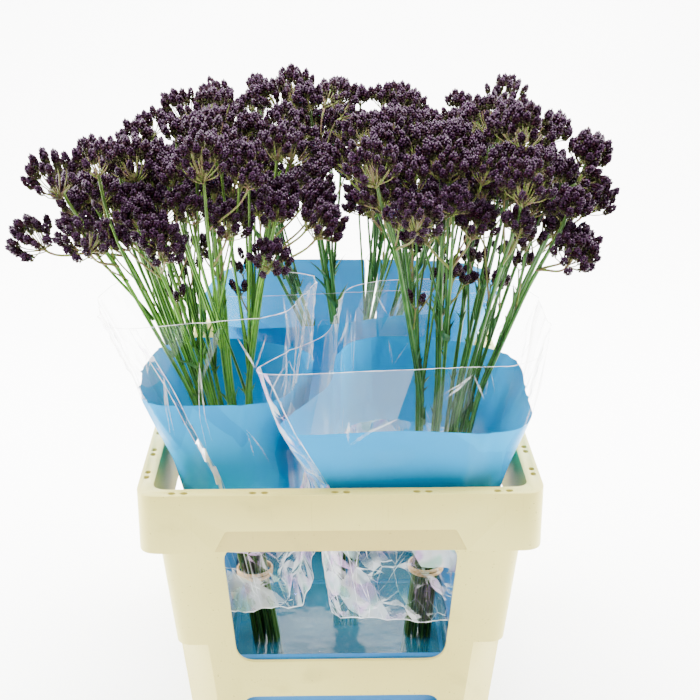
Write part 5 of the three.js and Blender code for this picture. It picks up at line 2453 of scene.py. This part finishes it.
@dataclass
class Studio:
    """A white sweep, soft lights and the camera, in metres apart from the eye's place in millimetres."""

    focal_px: float = 1334.0
    image_px: float = 700.0
    sensor_mm: float = 36.0
    eye: Point = (-10.7, -1074.0, 714.0)
    pitch_deg: float = 20.2
    yaw_deg: float = 1.13
    clip: Span = (0.05, 50.0)
    floor_half: float = 4.0
    floor_z: float = -0.0006
    wall_y: float = 2.2
    wall_top: float = 4.0
    cove: float = 1.0
    cove_steps: int = 12
    world_strength: float = 0.97
    lamps: tuple[Lamp, ...] = (
        Lamp("top", (0, 0.4, 3.0), (0, 0.4, 0), size=3.2, power=355),
        Lamp("wall", (0, 0.7, 2.4), (0, 2.1, 0.6), size=2.4, power=330),
        Lamp("key", (-1.4, -1.8, 2.0), (0, 0, 0.35), size=1.2, power=26),
        Lamp("left_edge", (-1.7, 0.35, 0.8), (0, 0, 0.25), size=1.2, power=140),
        Lamp("right_edge", (1.7, 0.35, 0.8), (0, 0, 0.25), size=1.2, power=140),
    )

    def sweep(self, material: Material) -> None:
        """The floor that curves up into a wall behind the object.

        Args:
            material: the sweep's material.
        """
        bend = self.wall_y - self.cove
        profile = [(-self.floor_half, self.floor_z), (bend, self.floor_z)]
        for k in range(1, self.cove_steps + 1):
            angle = math.pi / 2 * k / self.cove_steps
            profile.append((bend + self.cove * math.sin(angle), self.cove * (1 - math.cos(angle))))
        profile.append((self.wall_y, self.wall_top))
        vertices = [(x, y, z) for y, z in profile for x in (-self.floor_half, self.floor_half)]
        faces = [(2 * i, 2 * i + 1, 2 * i + 3, 2 * i + 2) for i in range(len(profile) - 1)]
        mesh = bpy.data.meshes.new("sweep")
        mesh.from_pydata(vertices, [], faces)
        mesh.materials.append(material)
        mesh.polygons.foreach_set("use_smooth", np.full(len(faces), True))
        linked("sweep", mesh)

    def camera(self) -> None:
        """The camera, level with the flowers and looking down into the crate."""
        data = bpy.data.cameras.new("camera")
        data.sensor_width = self.sensor_mm
        data.lens = self.focal_px / self.image_px * self.sensor_mm
        data.clip_start, data.clip_end = self.clip
        thing = linked("camera", data)
        thing.location = tuple(c * MM for c in self.eye)
        thing.rotation_euler = (math.radians(90 - self.pitch_deg), 0, -math.radians(self.yaw_deg))
        bpy.context.scene.camera = thing

    def build(self, material: Material) -> None:
        """Sets up the world, the sweep, the lights and the camera.

        Args:
            material: the sweep's material.
        """
        world = bpy.data.worlds.new("studio")
        world.use_nodes = True
        sky = world.node_tree.nodes["Background"]
        sky.inputs["Color"].default_value = (1, 1, 1, 1)
        sky.inputs["Strength"].default_value = self.world_strength
        bpy.context.scene.world = world
        self.sweep(material)
        for lamp in self.lamps:
            lamp.build()
        self.camera()


# ------------------------------------------------------------------ assembly

BUNCHES = (
    Bunch("left", foot=(-62, -4), crown=(-118, -92), reach=(76, 82), columns=4, rows=4,
          spread=2.4, seed=11),
    Bunch("right", foot=(70, 2), crown=(104, -92), reach=(72, 82), columns=4, rows=4,
          spread=2.1, seed=23),
    Bunch("rear", foot=(8, 72), crown=(16, 104), reach=(138, 68), columns=4, rows=3,
          spread=2.0, seed=37),
)

SLEEVES = (
    SleeveCut(
        "left",
        (152, 215, 278, 325, 402),
        (
            ((-96, -148), (-64, -154), (-34, -146), (-24, -90), (-26, -20), (-60, 10), (-98, 4), (-110, -80)),
            ((-102, -152), (-68, -158), (-38, -148), (-28, -90), (-28, -20), (-62, 10),
             (-105, 4), (-118, -80)),
            ((-119, -158), (-76, -162), (-46, -146), (-32, -90), (-26, -20), (-66, 10),
             (-126, 4), (-136.6, -80)),
            ((-134, -160), (-92, -162), (-50, -144), (-32, -90), (-24, -20), (-78, 10),
             (-134, 4), (-152, -78)),
            ((-162, -164), (-104, -168), (-48, -152), (-26, -96), (-22, -22), (-92, 10),
             (-166, 4), (-194, -76)),
        ),
        band_low=242, band_high=336, band_swing=12, band_turn=0.2, edge_swing=14, edge_turn=1.2,
        seam=(0.125, 0.03), strip=0.9, seed=3,
    ),
    SleeveCut(
        "right",
        (148, 215, 278, 325, 380),
        (
            ((0, -158), (44, -162), (100, -154), (110, -90), (108, -16), (66, 24), (24, 14), (0, -80)),
            ((-8, -163), (44, -166.5), (105, -157), (116.5, -90), (116, -16), (68, 26), (18, 14), (-6, -80)),
            ((-22, -181), (44, -184), (120, -175), (133, -92), (132, -14), (70, 28), (14, 16), (-10, -84)),
            ((-44, -188), (44, -192), (130, -184), (149, -98), (142, -14), (72, 28), (12, 16), (-10, -90)),
            ((-62, -190), (46, -196), (140, -188), (162, -102), (154, -14), (74, 26), (10, 14), (-8, -96)),
        ),
        band_low=242, band_high=326, band_swing=6, band_turn=0.6, edge_swing=10, edge_turn=2.2,
        seam=(0.03, -0.005), strip=3.6, seed=8,
    ),
    SleeveCut(
        "rear",
        (156, 215, 278, 325, 360),
        (
            ((-50, 50), (0, 44), (46, 54), (84, 66), (88, 130), (20, 154), (-52, 144), (-66, 96)),
            ((-58, 44), (-6, 38), (46, 52), (96, 62), (100, 144), (22, 168), (-62, 158), (-78, 96)),
            ((-74, 36), (-14, 32), (48, 48), (114, 56), (118, 157), (20, 184.6), (-76, 176.5), (-96, 96)),
            ((-92, 32), (-18, 30), (50, 46), (126, 52), (130, 164), (18, 190), (-92, 182), (-116, 98)),
            ((-106, 30), (-20, 28), (50, 44), (140, 50), (140, 168), (16, 195), (-104, 188), (-132, 98)),
        ),
        band_low=205, band_high=344, band_swing=14, band_turn=3.6, edge_swing=8, edge_turn=0.4,
        seam=(0.62, 0.6), strip=1.0, seed=5,
    ),
)

# Polypropylene moulded against a fine spark grain: waxy and half matt, so edges catch a soft light.
CREAM = MouldedPolypropylene("moulded_cream_polypropylene", "C6BD6A", "BFB360", "857C3E")
# The hand recess is rougher than the wall round it, so it looks flatter, and its colour is painted darker:
# painted shade under the collar.
RECESS_SHADE = MouldedPolypropylene("painted_shade_recess_polypropylene", "B0A45C", "A99A54", "7C7340", roughness=0.58)
# Blue masterbatch polypropylene: deep even colour with a smoother, glossier wall.
BLUE = MouldedPolypropylene("moulded_blue_polypropylene", "0768A0", "055A90", "2F80AA", roughness=0.36,
                            wear=0.3, depth=0.0)
# Cast film without ink: clear where it lies flat; where it is creased, painted white highlights and a faint
# painted rainbow reflection.
CLEAR = ClearFilm("cast_clear_polypropylene_film")
# The doubled film along the side seam, creased over its whole length: a crinkled strip of painted highlights.
CREASED = ClearFilm("creased_seam_polypropylene_film", crumpled_below_mm=600.0)
# Film under a flood coat of ink: an even sky blue, with painted light and painted shade on the broad facets
# of its folds.
PRINTED = PrintedFilm("printed_sky_blue_polypropylene_film", "0080B6", "0092C8", "006CA6")
# Hot-wire cut and weld: a thin milky line, partly painted light along the edge; the same film draws the
# painted highlights of fine creases.
WELD = MilkyFilm("welded_film_edge", thinnest=0.2, thickest=0.62)
# Sharp folds pressed into the taut film: faint pale slivers of painted highlight.
FOLD_HIGHLIGHT = MilkyFilm("painted_fold_highlight_film", thinnest=0.03, thickest=0.26)
# Flower tissues: matt bracts, dark calyces and glossy purple buds, which together look nearly black purple.
FLOWER = (
    PlantSkin("downy_peduncle_skin", "5A7028", "6A5040", drift_mm=3, stretch=5, roughness=0.6, gloss=0.2),
    PlantSkin("brown_bract_skin", "39401A", "2A1420", drift_mm=1.6, stretch=1.5, roughness=0.6, gloss=0.08),
    PlantSkin("purple_calyx_skin", "120409", "260A18", drift_mm=1.4, stretch=1.2, roughness=0.42, gloss=0.08),
    PlantSkin("purple_bud_skin", "190613", "301431", drift_mm=1.2, stretch=1.0, roughness=0.28, gloss=0.17),
)
# Square stems: waxy ribs catch the light, and the grooves between them carry painted shade in a darker
# colour, which gives fine stripes.
# The foot colours below are painted shade low in the crate.
BRIGHT_GREEN = (
    PlantSkin("bright_stem_rib_skin", "3E701A", "62922C", drift_mm=7, stretch=9, roughness=0.4, gloss=0.2,
              foot="3C5A1E", tip="55602C"),
    PlantSkin("bright_stem_groove_skin", "1D3E0C", "2D5414", drift_mm=7, stretch=9, roughness=0.55, gloss=0.2,
              foot="1C340E", tip="38401E"),
    *FLOWER,
    PlantSkin("bright_leaf_skin", "2C5A16", "4A7E28", drift_mm=7, stretch=2, roughness=0.45, gloss=0.3),
)
DARK_GREEN = (
    PlantSkin("dark_stem_rib_skin", "295119", "426E2B", drift_mm=7, stretch=9, roughness=0.4, gloss=0.2,
              foot="34501C", tip="45502A"),
    PlantSkin("dark_stem_groove_painted_shade_skin", "163210", "22451A", drift_mm=7, stretch=9, roughness=0.55, gloss=0.2,
              foot="142A0C", tip="2A3018"),
    *FLOWER,
    PlantSkin("dark_leaf_skin", "1C4012", "315E22", drift_mm=7, stretch=2, roughness=0.45, gloss=0.3),
)


def main() -> None:
    """Builds every sub-assembly in order and reports each one."""
    pieces = [Crate().build([CREAM.material(), RECESS_SHADE.material()])]
    tub = Tub()
    pieces.append(tub.build(BLUE.material()))
    pieces.append(Water().build(tub, StillWater("still_water").material()))
    planting = Planting(BUNCHES)
    rubber = NaturalRubber("natural_rubber").material()
    pieces += [ElasticBand().build(bunch, rubber) for bunch in BUNCHES]
    films = [CLEAR.material(), PRINTED.material(), WELD.material(), CREASED.material(), FOLD_HIGHLIGHT.material()]
    pieces += [FilmSleeve(cut).build(films) for cut in SLEEVES]
    stems = planting.lay()
    SideSprays(planting).grow(stems)
    LOG.info("layout: %d stems, %d heads, %d sprays", len(stems), sum(len(s.heads) for s in stems),
             sum(len(s.sprays) for s in stems))
    tissues = {skin: skin.material() for skin in dict.fromkeys((*BRIGHT_GREEN, *DARK_GREEN))}
    bright, dark = ([tissues[skin] for skin in skins] for skins in (BRIGHT_GREEN, DARK_GREEN))
    pieces += FloweringStems(planting).build(stems, bright, dark)
    for piece in pieces:
        piece.data.calc_loop_triangles()
        LOG.info("%s: %d triangles", piece.name, len(piece.data.loop_triangles))
    LOG.info("all: %d triangles", sum(len(piece.data.loop_triangles) for piece in pieces))
    Studio().build(MattPaint("matt_white_paint").material())


if __name__ == "__main__":
    main()
